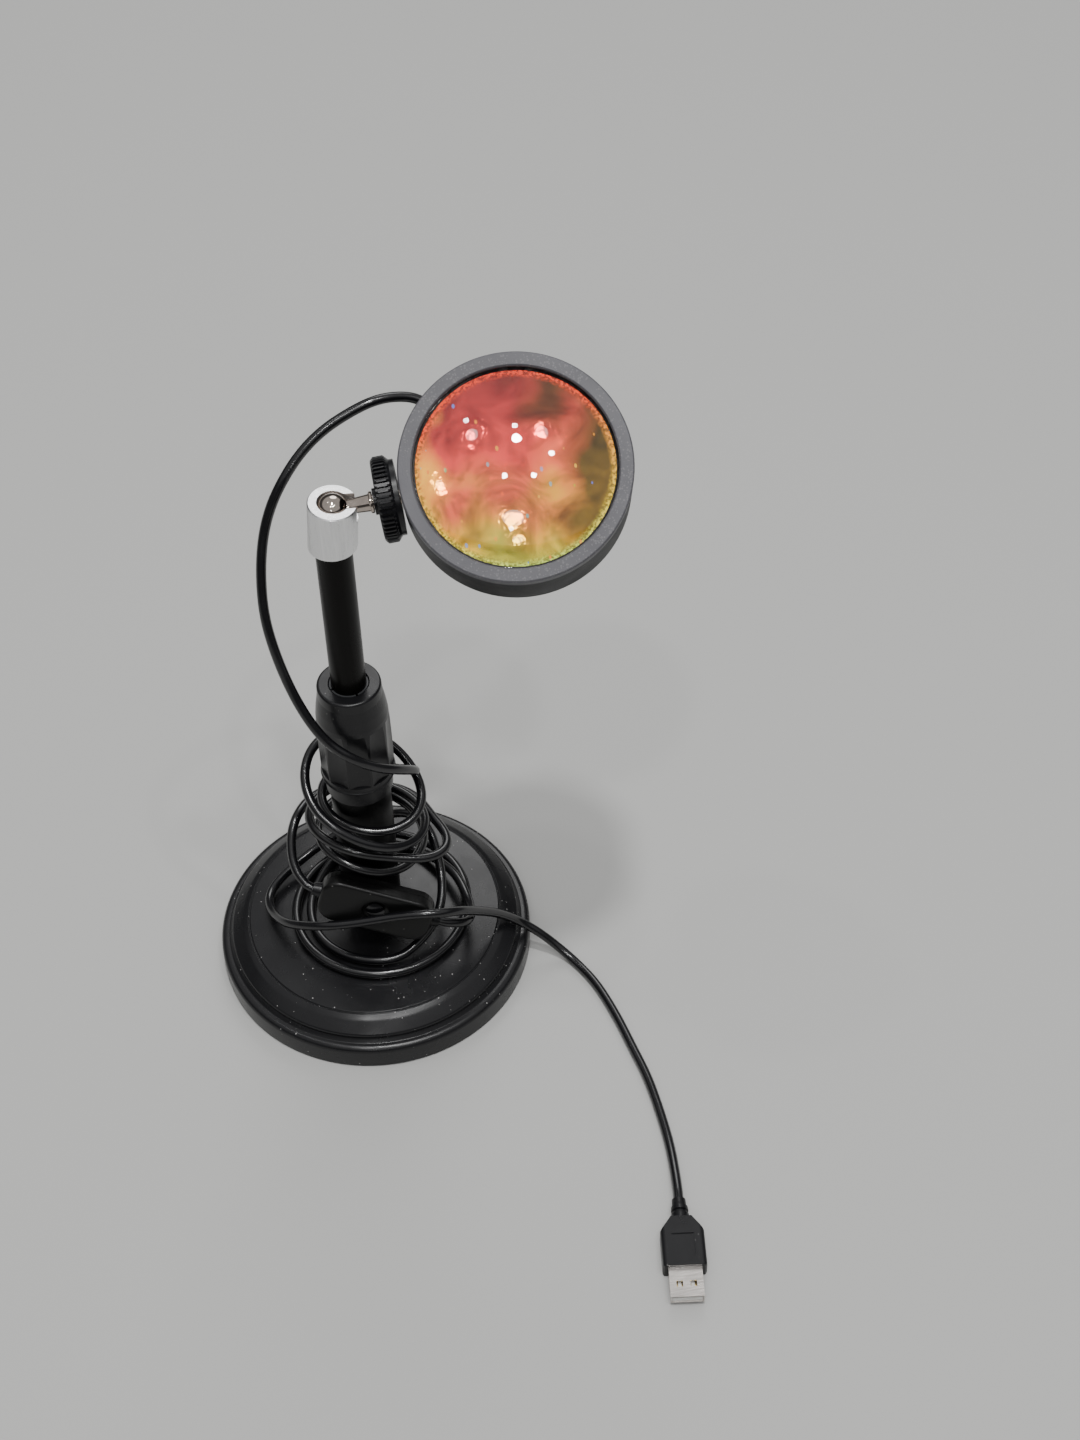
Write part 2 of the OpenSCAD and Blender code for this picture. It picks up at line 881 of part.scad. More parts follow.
// A smooth route through the points of p, each stretch cut in steps
function route(p, steps) =
    concat([for (i = [0:len(p) - 2], k = [0:steps - 1]) along(p, i + k / steps)], [p[len(p) - 1]]);

// Direction of the route at point i; the two end directions are given
function heading(p, i, first, last) =
    i == 0 ? unit(first) : i == len(p) - 1 ? unit(last) : unit(p[i + 1] - p[i - 1]);

function squared(u, t) = unit(u - (u * t) * t);

// Unbroken tube along the points p, whose end faces are square to first and last
module tube(p, first, last, sides) {
    n = len(p);
    t = [for (i = [0:n - 1]) heading(p, i, first, last)];
    start = abs(t[0][2]) < 0.8 ? [0, 0, 1] : [1, 0, 0];
    u = [for (i = 0, v = squared(start, t[0]); i < n; i = i + 1, v = i < n ? squared(v, t[i]) : v) v];
    rim = [for (i = [0:n - 1], k = [0:sides - 1])
        let (a = 360 * (k + 0.5) / sides)
        p[i] + cord_r * (cos(a) * u[i] + sin(a) * cross(t[i], u[i]))];
    sides_faces = [for (i = [0:n - 2], k = [0:sides - 1], half = [0, 1])
        let (a = i * sides + k, b = i * sides + (k + 1) % sides)
        half == 0 ? [a, a + sides, b] : [b, a + sides, b + sides]];
    polyhedron(rim, concat([[for (k = [0:sides - 1]) k]], sides_faces,
                           [[for (k = [0:sides - 1]) n * sides - 1 - k]]));
}

// Turns round the pole: radius and height where the cord passes each quarter turn,
// from 40 degrees right of the front on. Two turns sag outwards at the right.
coil_quarters_r = [18, 13.8, 15.8, 14.4, 18.6, 19.7, 18.8, 22.1, 24.1, 20.8, 20.9, 20.4, 22.7, 24.9, 20,
                   15.8, 18, 26.2, 26.2, 25];
coil_quarters_z = [97, 92.3, 89.6, 87.9, 87.1, 99.2, 107.5, 96.5, 77.5, 71.7, 75.8, 81.9, 73.9, 67, 66.5, 66,
                   58, 57.5, 70.5, 73.5];
coil_first = 50;
coil_last = 4 * 360 + 151;

function pole_turn(a) =
    let (q = (a + 40) / 90,
         r = along(coil_quarters_r, q) + 4.1 * bump(a, 336, 37.7) + 11.3 * bump(a, 1047, 25))
    [r * cos(a), r * sin(a), along(coil_quarters_z, q)];

pole_rings = ceil((coil_last - coil_first) / 360 * rings_per_loop);
pole_path = [for (i = [0:pole_rings]) pole_turn(coil_first + (coil_last - coil_first) * i / pole_rings)];

// Turns that lie on the base: an outer turn, then an inner one that climbs over it behind the pole
rest_quarters_r = [31, 29.8, 32.5, 36.3, 36.2, 25.5, 26.5, 31];
rest_quarters_z = [22.4, 22.4, 22.4, 22.4, 22.4, 22.6, 22.6, 24];
rest_first = 45;
rest_last = 360 + 285;

function base_turn(a) =
    let (q = (a - 45) / 90,
         r = along(rest_quarters_r, q))
    [r * cos(a), r * sin(a), along(rest_quarters_z, q) + 5 * bump(a, 452, 33)];

base_rings = ceil((rest_last - rest_first) / 360 * rings_per_loop);
base_path = [for (i = [0:base_rings]) base_turn(rest_first + (rest_last - rest_first) * i / base_rings)];

pole_in = pole_path[1] - pole_path[0];
pole_out = pole_path[pole_rings] - pole_path[pole_rings - 1];
base_in = base_path[1] - base_path[0];
base_out = base_path[base_rings] - base_path[base_rings - 1];

// Turn of v by the angles in a, in the order x, y, z
function turned(v, a) =
    let (x = [v[0], v[1] * cos(a[0]) - v[2] * sin(a[0]), v[1] * sin(a[0]) + v[2] * cos(a[0])],
         y = [x[0] * cos(a[1]) + x[2] * sin(a[1]), x[1], x[2] * cos(a[1]) - x[0] * sin(a[1])])
    [y[0] * cos(a[2]) - y[1] * sin(a[2]), y[0] * sin(a[2]) + y[1] * cos(a[2]), y[2]];

function in_switch(v) = switch_at + turned(turned(v, [0, switch_tilt, 0]), [-12, 0, -12]);
function in_head(v) = ball_at + turned(v + [head_reach, 0, 0], [head_turn, -stud_rise, 0]);

gland_tip = in_head([gland_end * cos(gland_a), gland_end * sin(gland_a), gland_z]);
gland_way = in_head([cos(gland_a), sin(gland_a), 0]) - in_head([0, 0, 0]);
switch_end = switch_l / 2 + relief_l;
switch_way = in_switch([1, 0, 0]) - switch_at;
plug_way = [-sin(plug_turn), -cos(plug_turn), 0];
plug_tail = plug_at - (plug_body_l + plug_relief_l) * plug_way;

arc_points = [
    gland_tip, gland_tip + 4 * gland_way, [35.4, 43.9, 237.7], [28.7, 44.3, 239.2], [20.6, 42.6, 240.4],
    [10.4, 40, 237.8], [1.8, 37, 234.6], [-5.7, 33, 230.4], [-11.5, 29, 225.4], [-17.7, 25, 217],
    [-21.9, 21, 207.9], [-24.3, 16, 199.2], [-25.5, 11, 190.5], [-25.7, 6, 181.3], [-23.9, 0.5, 169.6],
    [-20.2, -5, 155.6], [-15.2, -11, 144.5], [-9.3, -15, 135.7], [-1.5, -17.8, 129.4], [5, -16.3, 122.6],
    [12.7, -13.3, 116.1], [18.8, -7.9, 108.7], [21.1, -3.6, 102.8], [19.3, 1.1, 98.3], [13.3, 7, 93.7],
    pole_path[0]
];
lead_in_points = [
    pole_path[pole_rings], [-24.9, 9, 71.9], [-26.8, 5.6, 70.8], [-28.2, 2.2, 67.9], [-28.8, -1, 65.2],
    [-28.9, -4.6, 62.2], [-28.2, -8.2, 59.6], [-26, -11.8, 57], in_switch([-switch_end, 0, 0])
];
lead_out_points = [
    in_switch([switch_end, 0, 0]), in_switch([switch_end + 3.4, 0, 0]), [30.4, -27.8, 38.8],
    [33.9, -26, 36.5], [36, -22.3, 33.9], [37, -16.2, 31], [36.7, -9, 28.8], [34, 4, 27.4],
    [28.5, 14.5, 24.9], base_path[0]
];
lead_points = [
    base_path[base_rings], [17.9, -22.5, 27], [22.8, -18, 30.2], [25.8, -12.5, 33.3], [27.4, -4, 37.5],
    [26.8, 5, 43.5], [24.5, 14, 49], [18, 22.5, 48], [8, 28, 42], [-4, 30.5, 35], [-14, 30, 29.5],
    [-22, 27, 26.3], [-29, 22.5, 25], [-35, 18, 24], [-40.1, 12, 23.1], [-41, 5, 24.2],
    [-38.9, -3, 27.3], [-34, -13, 34], [-25.5, -20.5, 40.3], [-17.9, -24.7, 44.4], [-10.3, -26.2, 45.9],
    [-0.7, -28, 48.5], [8.8, -29.5, 50.9], [16.3, -30.9, 52.1], [21, -31.6, 52.4], [25.8, -31, 51],
    [32, -27.5, 46.4], [39.9, -22, 37.1], [47.8, -17, 27.2], [55.8, -14.1, 16.8], [62, -16.5, 12.6],
    [67.6, -19, 7.5], [72.6, -22.3, 3.2], [77.3, -28.5, 1.9], [82.7, -38.9, 1.9], [87.6, -54.6, 1.9],
    [91.2, -70.7, 1.9], [94.1, -84, 1.9], [95.8, -99.4, 1.9], [96.6, -114.5, 2], [96.2, -125, 2.9],
    plug_tail - 6 * plug_way, plug_tail
];

module cord(points, first, last) {
    color("#101011")
        tube(points, first, last, cord_sides);
}

module cord_arc() {
    cord(arc_points, gland_way, pole_in);
}

module pole_coil() {
    color("#101011")
        tube(pole_path, pole_in, pole_out, coil_sides);
}

module switch_lead_in() {
    cord(lead_in_points, pole_out, switch_way);
}

module switch_lead_out() {
    cord(lead_out_points, switch_way, base_in);
}

module base_coil() {
    color("#101011")
        tube(base_path, base_in, base_out, coil_sides);
}

module cord_lead() {
    cord(lead_points, base_out, plug_way);
}

// Least gap of a coil to itself, measured between points more than half a turn apart
function least_gap(p) =
    min([for (i = [0:len(p) - 1], k = [i + rings_per_loop / 2:1:len(p) - 1]) norm(p[i] - p[k])]) - cord_d;

function path_length(p) = len(p) < 2 ? 0 : total([for (i = [1:len(p) - 1]) norm(p[i] - p[i - 1])]);
function total(v) = v * [for (x = v) 1];

echo(pole_coil_gap = least_gap([for (i = [0:8 * pole_rings])
    pole_turn(coil_first + (coil_last - coil_first) * i / (8 * pole_rings))]) );
echo(base_coil_gap = least_gap(base_path));
echo(cord_length = path_length(route(arc_points, 4)) + path_length(pole_path)
    + path_length(route(lead_in_points, 4)) + path_length(route(lead_out_points, 4))
    + path_length(base_path) + path_length(route(lead_points, 4)));

base_cover();
base_weight();
foot_pad();
pole_bolt();
bolt_washer();
lower_tube();
tube_plug();
tube_collar();
collet();
twist_grip();
inner_tube();
guide_bush();
pan_pivot();
ball_socket();
ball_pad();
ball_stud();
stud_clip();
lock_nut();
head_barrel();
side_bush();
front_ring();
lens();
lens_seal();
colour_filter();
reflector();
led_board();
led_chip();
heat_sink();
rear_housing();
rear_screws();
cord_gland();
cord_arc();
pole_coil();
switch_lead_in();
switch_front();
switch_back();
switch_button();
switch_board();
switch_element();
switch_screws();
switch_reliefs();
switch_lead_out();
base_coil();
cord_lead();
plug_relief();
plug_body();
plug_shell();
plug_tongue();
plug_contacts();
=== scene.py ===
# %% [markdown]
# # A projection lamp, piece by piece
# The solid parts of this lamp come from its CAD model. This lesson loads them as a fixed frame,
# lays the soft cord along its real route, replaces the pieces whose surface needs more care, and
# gives every piece a finish made of nodes. Everything is in metres, and the base stands on z = 0.

# %% Load the frame
import json
import math

import bmesh
import bpy
from mathutils import Matrix, Vector


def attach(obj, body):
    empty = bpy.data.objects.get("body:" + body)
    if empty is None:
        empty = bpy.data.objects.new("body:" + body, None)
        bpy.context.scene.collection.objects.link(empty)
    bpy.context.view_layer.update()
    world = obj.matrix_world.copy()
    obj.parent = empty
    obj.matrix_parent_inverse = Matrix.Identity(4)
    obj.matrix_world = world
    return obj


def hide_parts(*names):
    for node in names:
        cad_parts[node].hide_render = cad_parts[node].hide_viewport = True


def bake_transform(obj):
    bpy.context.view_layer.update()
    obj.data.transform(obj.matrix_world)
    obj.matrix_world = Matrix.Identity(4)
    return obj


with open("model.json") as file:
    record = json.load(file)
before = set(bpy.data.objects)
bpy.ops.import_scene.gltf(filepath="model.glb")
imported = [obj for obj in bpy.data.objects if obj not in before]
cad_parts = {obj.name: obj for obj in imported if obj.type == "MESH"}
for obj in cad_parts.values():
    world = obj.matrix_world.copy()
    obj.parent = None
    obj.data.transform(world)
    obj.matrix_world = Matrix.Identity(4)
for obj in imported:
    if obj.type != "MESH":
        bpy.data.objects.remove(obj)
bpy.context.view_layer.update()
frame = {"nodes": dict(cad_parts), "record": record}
MM = 0.001

# %% [markdown]
# ## The camera
# The photo was taken from above, looking down at about 48 degrees. A camera is a point, three
# turns and a focal length: it is turned about Z for its heading, about X for its tilt, and about
# its own view line for the small roll of a hand-held shot.

# %% Camera
SENSOR_MM = 36
FOCAL_MM = 53.75
HEADING_DEG = -8.5
DOWN_DEG = 47.96
ROLL_DEG = -1.01
CAMERA_PLACE = (-0.0101, -0.5212, 0.7023)

lens_data = bpy.data.cameras.new("camera")
lens_data.sensor_width = SENSOR_MM
lens_data.lens = FOCAL_MM
camera = bpy.data.objects.new("camera", lens_data)
heading = Matrix.Rotation(math.radians(HEADING_DEG), 4, "Z")
tilt = Matrix.Rotation(math.radians(90 - DOWN_DEG), 4, "X")
roll = Matrix.Rotation(math.radians(ROLL_DEG), 4, "Z")
camera.matrix_world = Matrix.Translation(CAMERA_PLACE) @ heading @ tilt @ roll
bpy.context.scene.collection.objects.link(camera)
bpy.context.scene.camera = camera
print("camera looks along", [round(v, 3) for v in -camera.matrix_world.col[2].xyz])

# %% [markdown]
# ## Places that later steps need
# Two pieces sit at an angle: the switch leans on the cord, and the head is turned on its stud.
# A matrix for each keeps their own measurements simple, because a point can then be given as it
# would be on the part's own drawing.

# %% Frames of the switch and the head
def turns(*steps):
    """The product of turns given as (degrees, axis), the last one applied first."""
    total = Matrix.Identity(4)
    for degrees, axis in steps:
        total = total @ Matrix.Rotation(math.radians(degrees), 4, axis)
    return total


BALL = Vector((0.001112, -0.000975, 0.232901))
SWITCH = Vector((0.0005, -0.02045, 0.0482))
STUD_DROP = -5.9
HEAD_ROLL = 33.5
HEAD_REACH = 0.0605

at_switch = Matrix.Translation(SWITCH) @ turns((-12, "Z"), (-12, "X"), (16.5, "Y"))
at_stud = Matrix.Translation(BALL) @ turns((STUD_DROP, "Y"))
at_head = at_stud @ turns((HEAD_ROLL, "X")) @ Matrix.Translation((HEAD_REACH, 0, 0))
print("the lens looks along", [round(v, 3) for v in at_head.col[2].xyz])

# %% [markdown]
# ## The route of the cord
# The cord leaves the back of the head, hangs in an arc to the pole, winds four times round it,
# passes through the switch, lies in two turns on the base, and runs over the edge to its plug.
# The route is a list of points in millimetres. Between them a smooth line is drawn that passes
# through each point, and a few rounds of averaging then relax it as a soft cord relaxes.

# %% Curve helpers
HELD = 2  # points beside each end that relaxing leaves alone


def glide(a, b, c, d, f):
    """A smooth value between b and c at place f, from 0 to 1."""
    bend = 2 * a - 5 * b + 4 * c - d
    return 0.5 * (2 * b + (c - a) * f + bend * f * f + (3 * b - a - 3 * c + d) * f**3)


def along(values, place):
    """The value at a place counted in steps of the list, with whole places at its entries."""
    last = len(values) - 1
    i = min(int(place), last - 1)
    near = [values[max(0, min(last, i + k))] for k in (-1, 0, 1, 2)]
    return glide(*near, place - i)


def bump(angle, middle, width):
    """A bell shape that is 1 at its middle."""
    return math.exp(-(((angle - middle) / width) ** 2))


def even_line(points, step):
    """The same line with its points an even step apart."""
    sums = [0.0]
    for a, b in zip(points, points[1:]):
        sums.append(sums[-1] + (b - a).length)
    count = max(2, round(sums[-1] / step))
    line = []
    k = 0
    for i in range(count + 1):
        want = sums[-1] * i / count
        while k < len(sums) - 2 and sums[k + 1] < want:
            k += 1
        line.append(points[k].lerp(points[k + 1], (want - sums[k]) / (sums[k + 1] - sums[k])))
    return line


def relaxed(line, rounds):
    """Averages each point with its neighbours, and leaves the ends as they are."""
    for _ in range(rounds):
        inner = [(a + 2 * b + c) / 4 for a, b, c in zip(line, line[1:], line[2:])]
        inner[:HELD] = line[1 : 1 + HELD]
        inner[-HELD:] = line[-1 - HELD : -1]
        line = [line[0], *inner, line[-1]]
    return line


def length_of(line):
    """The length of a line through its points."""
    return sum((b - a).length for a, b in zip(line, line[1:]))


# %% [markdown]
# ### The turns
# A turn that is loose is neither round nor level, so one radius and one pitch would not do. The
# radius and the height of the cord are given at each quarter turn instead. Two turns sag outwards
# on the right, which a bell-shaped bump adds, and the turn on the base is lifted where it crosses.

# %% Points of the wound part
quarters_r = [18, 13.8, 15.8, 14.4, 18.6, 19.7, 18.8, 22.1, 24.1, 20.8]
quarters_r += [20.9, 20.4, 22.7, 24.9, 20, 15.8, 18, 26.2, 26.2, 25]
quarters_z = [97, 92.3, 89.6, 87.9, 87.1, 99.2, 107.5, 96.5, 77.5, 71.7]
quarters_z += [75.8, 81.9, 73.9, 67, 66.5, 66, 58, 57.5, 70.5, 73.5]
SAGS = [(336, 37.7, 4.1), (1047, 25, 11.3)]  # each a (middle, width, size), in degrees and mm
rest_r = [31, 29.8, 32.5, 36.3, 36.2, 25.5, 26.5, 31]
rest_z = [22.4, 22.4, 22.4, 22.4, 22.4, 22.6, 22.6, 24]
LIFT = (452, 33, 5)
QUARTER = 90
POLE_START = -40
BASE_START = 45


def on_circle(radius, degrees, height):
    """The point at an angle round the Z axis."""
    a = math.radians(degrees)
    return (radius * math.cos(a), radius * math.sin(a), height)


def pole_turn(a):
    """The cord at an angle in its turns round the pole."""
    place = (a - POLE_START) / QUARTER
    radius = along(quarters_r, place)
    for middle, width, size in SAGS:
        radius += size * bump(a, middle, width)
    return on_circle(radius, a, along(quarters_z, place))


def base_turn(a):
    """The cord at an angle in its turns on the base."""
    place = (a - BASE_START) / QUARTER
    middle, width, size = LIFT
    return on_circle(along(rest_r, place), a, along(rest_z, place) + size * bump(a, middle, width))


pole_points = [pole_turn(a) for a in range(50, 1592, 10)]
base_points = [base_turn(a) for a in range(BASE_START, 646, 10)]
print("points in the turns:", len(pole_points) + len(base_points))

# %% [markdown]
# ### The free stretches
# A stretch that hangs or lies loose follows no formula, so its points are listed one by one. Only its
# ends are worked out, from the places where the cord enters the head, the switch and the plug.

# %% Ends of the free stretches
GLAND_R = 0.0315
GLAND_Z = -0.026
SWITCH_HALF = 0.0248
PLUG_FRONT = Vector((91.45, -166.9, 4.05))
PLUG_L = 27.9

gland_turn = math.radians(122)
gland_way = at_head.to_3x3() @ Vector((math.cos(gland_turn), math.sin(gland_turn), 0))
gland_tip = at_head @ Vector((GLAND_R * math.cos(gland_turn), GLAND_R * math.sin(gland_turn), GLAND_Z))
gland_tip /= MM
switch_in = (at_switch @ Vector((-SWITCH_HALF, 0, 0))) / MM
switch_out = (at_switch @ Vector((SWITCH_HALF, 0, 0))) / MM
switch_way = at_switch.to_3x3() @ Vector((1, 0, 0))
plug_turn = math.radians(7)
plug_way = Vector((-math.sin(plug_turn), -math.cos(plug_turn), 0))
plug_tail = PLUG_FRONT - PLUG_L * plug_way
print("the plug's tail is at", [round(v, 1) for v in plug_tail], "mm")

# %% [markdown]
# ### The points between them
# First the arc from the head to the pole, then the short leads into and out of the switch, and
# last the way up behind the pole, across the switch, over the edge of the base and to the plug.

# %% Points of the free stretches

arc_points = [
    gland_tip, gland_tip + 4 * gland_way, (35.4, 43.9, 237.7), (28.7, 44.3, 239.2), (20.6, 42.6, 240.4),
    (10.4, 40, 237.8), (1.8, 37, 234.6), (-5.7, 33, 230.4), (-11.5, 29, 225.4), (-17.7, 25, 217),
    (-21.9, 21, 207.9), (-24.3, 16, 199.2), (-25.5, 11, 190.5), (-25.7, 6, 181.3), (-23.9, 0.5, 169.6),
    (-20.2, -5, 155.6), (-15.2, -11, 144.5), (-9.3, -15, 135.7), (-1.5, -17.8, 129.4), (5, -16.3, 122.6),
    (12.7, -13.3, 116.1), (18.8, -7.9, 108.7), (21.1, -3.6, 102.8), (19.3, 1.1, 98.3), (13.3, 7, 93.7),
]
lead_in_points = [
    (-24.9, 9, 71.9), (-26.8, 5.6, 70.8), (-28.2, 2.2, 67.9), (-28.8, -1, 65.2), (-28.9, -4.6, 62.2),
    (-28.2, -8.2, 59.6), (-26, -11.8, 57), switch_in,
]
lead_out_points = [
    switch_out, switch_out + 3.4 * switch_way, (30.4, -27.8, 38.8), (33.9, -26, 36.5), (36, -22.3, 33.9),
    (37, -16.2, 31), (36.7, -9, 28.8), (34, 4, 27.4), (28.5, 14.5, 24.9),
]
lead_points = [
    (17.9, -22.5, 27), (22.8, -18, 30.2), (25.8, -12.5, 33.3), (27.4, -4, 37.5),
    (26.8, 5, 43.5), (24.5, 14, 49), (18, 22.5, 48), (8, 28, 42), (-4, 30.5, 35), (-14, 30, 29.5),
    (-22, 27, 26.3), (-29, 22.5, 25), (-35, 18, 24), (-40.1, 12, 23.1), (-41, 5, 24.2),
    (-38.9, -3, 27.3), (-34, -13, 34), (-25.5, -20.5, 40.3), (-17.9, -24.7, 44.4), (-10.3, -26.2, 45.9),
    (-0.7, -28, 48.5), (8.8, -29.5, 50.9), (16.3, -30.9, 52.1), (21, -31.6, 52.4), (25.8, -31, 51),
    (32, -27.5, 46.4), (39.9, -22, 37.1), (47.8, -17, 27.2), (55.8, -14.1, 16.8), (62, -16.5, 12.6),
    (67.6, -19, 7.5), (72.6, -22.3, 3.2), (77.3, -28.5, 1.9), (82.7, -38.9, 1.9), (87.6, -54.6, 1.9),
    (91.2, -70.7, 1.9), (94.1, -84, 1.9), (95.8, -99.4, 1.9), (96.6, -114.5, 2), (96.2, -125, 2.9),
    plug_tail - 6 * plug_way, plug_tail,
]
print("points in the free stretches:", len(arc_points + lead_in_points + lead_out_points + lead_points))

# %% [markdown]
# ### One smooth line
# The points are joined by a line that bends smoothly through them, cut into even steps, and
# relaxed, so that no bend is tighter than a soft cord of this thickness would take.

# %% Draw the two lines
PARTS = 12
STEP = 0.0015
ROUNDS = 12


def route(points):
    """A relaxed line through points in millimetres, itself in metres and with even steps."""
    corners = [Vector(p) * MM for p in points]
    smooth = [along(corners, i / PARTS) for i in range(PARTS * (len(corners) - 1) + 1)]
    return relaxed(even_line(smooth, STEP), ROUNDS)


upper_line = route(arc_points + pole_points + lead_in_points)
lower_line = route(lead_out_points + base_points + lead_points)
above, below = length_of(upper_line), length_of(lower_line)
print("cord above the switch", round(above, 3), "m, below", round(below, 3))

# %% [markdown]
# ## The cord
# A cord can be a curve with a round bevel, which is the simplest tube that there is. Here each
# stretch is turned into a mesh, because the free arc hangs between parts that move: its four
# stretches run between the head, the stud, the socket, the pole and the base.

# %% Make one stretch of cord
CORD_D = 0.0036


def tube(name, line):
    """A mesh tube of the cord's thickness along the line."""
    data = bpy.data.curves.new(name, "CURVE")
    data.dimensions = "3D"
    data.bevel_depth = CORD_D / 2
    data.bevel_resolution = 3
    data.use_fill_caps = True
    spline = data.splines.new("POLY")
    spline.points.add(len(line) - 1)
    for point, place in zip(spline.points, line):
        point.co = (*place, 1)
    spline.use_smooth = True
    curve = bpy.data.objects.new(name, data)
    mesh = bpy.data.meshes.new_from_object(curve)
    bpy.data.objects.remove(curve)
    bpy.data.curves.remove(data)
    mesh.name = name
    piece = bpy.data.objects.new(name, mesh)
    bpy.context.scene.collection.objects.link(piece)
    print(name, "has", len(mesh.polygons), "faces and is", round(length_of(line), 3), "m long")
    return piece


cord_pieces = []


def lay_cord(name, line, nodes):
    """A stretch of cord, put in place of its CAD nodes, which it hides."""
    piece = tube(name, line)
    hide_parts(*nodes)
    cord_pieces.append(piece)
    return piece


# %% [markdown]
# ### The free arc
# A soft cord over a joint can be one piece that bends, but only between two bodies that share that
# joint. The arc passes four joints, so it is cut at four places, one stretch for each.

# %% The free arc in four stretches
def nearest(line, place):
    """The number of the line's point that is nearest to a place in millimetres."""
    return min(range(len(line)), key=lambda i: (line[i] - Vector(place) * MM).length)


cut_places = [(10.4, 40, 237.8), (-17.7, 25, 217), (-25.7, 6, 181.3), (8.9, 10.6, 92.3)]
cuts = [0] + [nearest(upper_line, place) for place in cut_places]
movers = ["head", "stud", "socket", "pole", "base"]
for i, (first, last) in enumerate(zip(cuts, cuts[1:])):
    stretch = upper_line[first : last + 1]
    piece = lay_cord(f"cord_{movers[i]}_to_{movers[i + 1]}", stretch, ["cord_arc"])
    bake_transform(piece)

# %% [markdown]
# ### The rest of the cord
# The turns, the switch and the lead stay with the base, so two long pieces are enough. The switch
# and the plug are rigid parts of the cord.

# %% The turns, the switch leads and the lead to the plug
switch_nodes = ["switch_front", "switch_back", "switch_button", "switch_board"]
switch_nodes += ["switch_element", "switch_screws", "switch_reliefs"]


wound = lay_cord("cord_wound", upper_line[cuts[-1] :], ["pole_coil", "switch_lead_in"])
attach(wound, "base")
lead = lay_cord("cord_lead_to_plug", lower_line, ["switch_lead_out", "base_coil", "cord_lead"])
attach(lead, "base")

# %% [markdown]
# ## The floor
# A floor can be a studio sweep or a plain sheet. Seen from above only the sheet shows, so one wide,
# pale and nearly matt square is enough.

# %% Floor
FLOOR_HALF = 6
bm = bmesh.new()
bmesh.ops.create_grid(bm, x_segments=1, y_segments=1, size=FLOOR_HALF)
floor_mesh = bpy.data.meshes.new("floor")
bm.to_mesh(floor_mesh)
bm.free()
floor = bpy.data.objects.new("floor", floor_mesh)
bpy.context.scene.collection.objects.link(floor)
floor_finish = bpy.data.materials.new("pale_floor")
floor_finish.use_nodes = True
floor_shader = floor_finish.node_tree.nodes["Principled BSDF"]
floor_shader.inputs["Base Color"].default_value = (0.44, 0.44, 0.43, 1)
floor_shader.inputs["Roughness"].default_value = 0.85
floor.data.materials.append(floor_finish)
print("the floor is", 2 * FLOOR_HALF, "m wide")

# %% [markdown]
# ## The lights
# A wide soft light stands for a pale ceiling, and a panel behind the lamp brightens the far sides.
# The room itself is kept dim, so that black paint stays black.

# %% Ceiling, panel and room
def area_light(name, place, target, size, watts):
    """A round lamp that faces its target."""
    data = bpy.data.lights.new(name, "AREA")
    data.shape = "DISK"
    data.size = size
    data.energy = watts
    lamp = bpy.data.objects.new(name, data)
    way = Vector(target) - Vector(place)
    lamp.matrix_world = Matrix.Translation(place) @ way.to_track_quat("-Z", "Y").to_matrix().to_4x4()
    bpy.context.scene.collection.objects.link(lamp)


area_light("ceiling", (0, 0, 2.4), (0, 0, 0), 8.0, 78)
area_light("panel", (0.5, 2.1, 2.1), (0, 0, 0.1), 1.5, 21)
world = bpy.data.worlds.new("studio")
world.use_nodes = True
world.node_tree.nodes["Background"].inputs["Color"].default_value = (0.8, 0.8, 0.8, 1)
world.node_tree.nodes["Background"].inputs["Strength"].default_value = 0.12
bpy.context.scene.world = world

# %% [markdown]
# ### Small lamps for the gloss
# Glass and gloss show only what they mirror. The lens mirrors the camera's view to one direction
# above the lamp, so seven small lamps stand about that direction. Each is given by its angles up
# and right of it in degrees, its watts and its width in metres.

# %% Small lamps
LAMP_WAY = 2.1

lens_axis = at_head.col[2].xyz
lens_right = at_head.col[0].xyz
view_way = (camera.matrix_world.translation - at_head.translation).normalized()
mirrored = 2 * lens_axis.dot(view_way) * lens_axis - view_way
mirror_up = mirrored.cross(lens_right).normalized()
lamps = [(12, 4.5, 22, 0.17), (19, 5, 3, 0.1), (-6, -5, 5, 0.1), (-8.5, 9.5, 6, 0.1), (2, 20, 5, 0.1),
         (-33, -8, 2, 0.1), (29, -18, 2, 0.1)]
for i, (up, right, watts, size) in enumerate(lamps):
    way = mirrored + math.tan(math.radians(up)) * mirror_up + math.tan(math.radians(right)) * lens_right
    area_light(f"lamp_{i}", BALL + LAMP_WAY * way.normalized(), BALL, size, watts)
print("small lamps:", len(lamps))

# %% [markdown]
# ## Turned pieces
# Most of the lamp is round. The simplest way to make a round piece is to draw half of its section
# and spin it about an axis, as a lathe does. Corners are given a real radius in the section, so
# that they catch the light.

# %% Round the corners of a section
def rounded(points, radii, steps):
    """A section of (radius, height) points with its corners rounded, one radius per corner."""
    section = []
    last = len(points) - 1
    for i, (point, radius) in enumerate(zip(points, radii)):
        corner = Vector(point)
        if radius == 0 or i in (0, last):
            section.append(corner)
            continue
        before = (Vector(points[i - 1]) - corner).normalized()
        after = (Vector(points[i + 1]) - corner).normalized()
        half = before.angle(after) / 2
        reach = radius / math.tan(half)
        start = corner + before * reach
        end = corner + after * reach
        middle = corner + (before + after).normalized() * (radius / math.sin(half))
        for k in range(steps + 1):
            way = (start - middle).lerp(end - middle, k / steps)
            section.append(middle + way.normalized() * radius)
    return section


# %% [markdown]
# ### Spinning it
# The spin makes the faces, doubled points on the axis are merged, and the normals are worked out
# again. Every piece then gets smooth faces, with only its sharp edges kept crisp.

# %% Spin a section
SHARP_DEG = 32


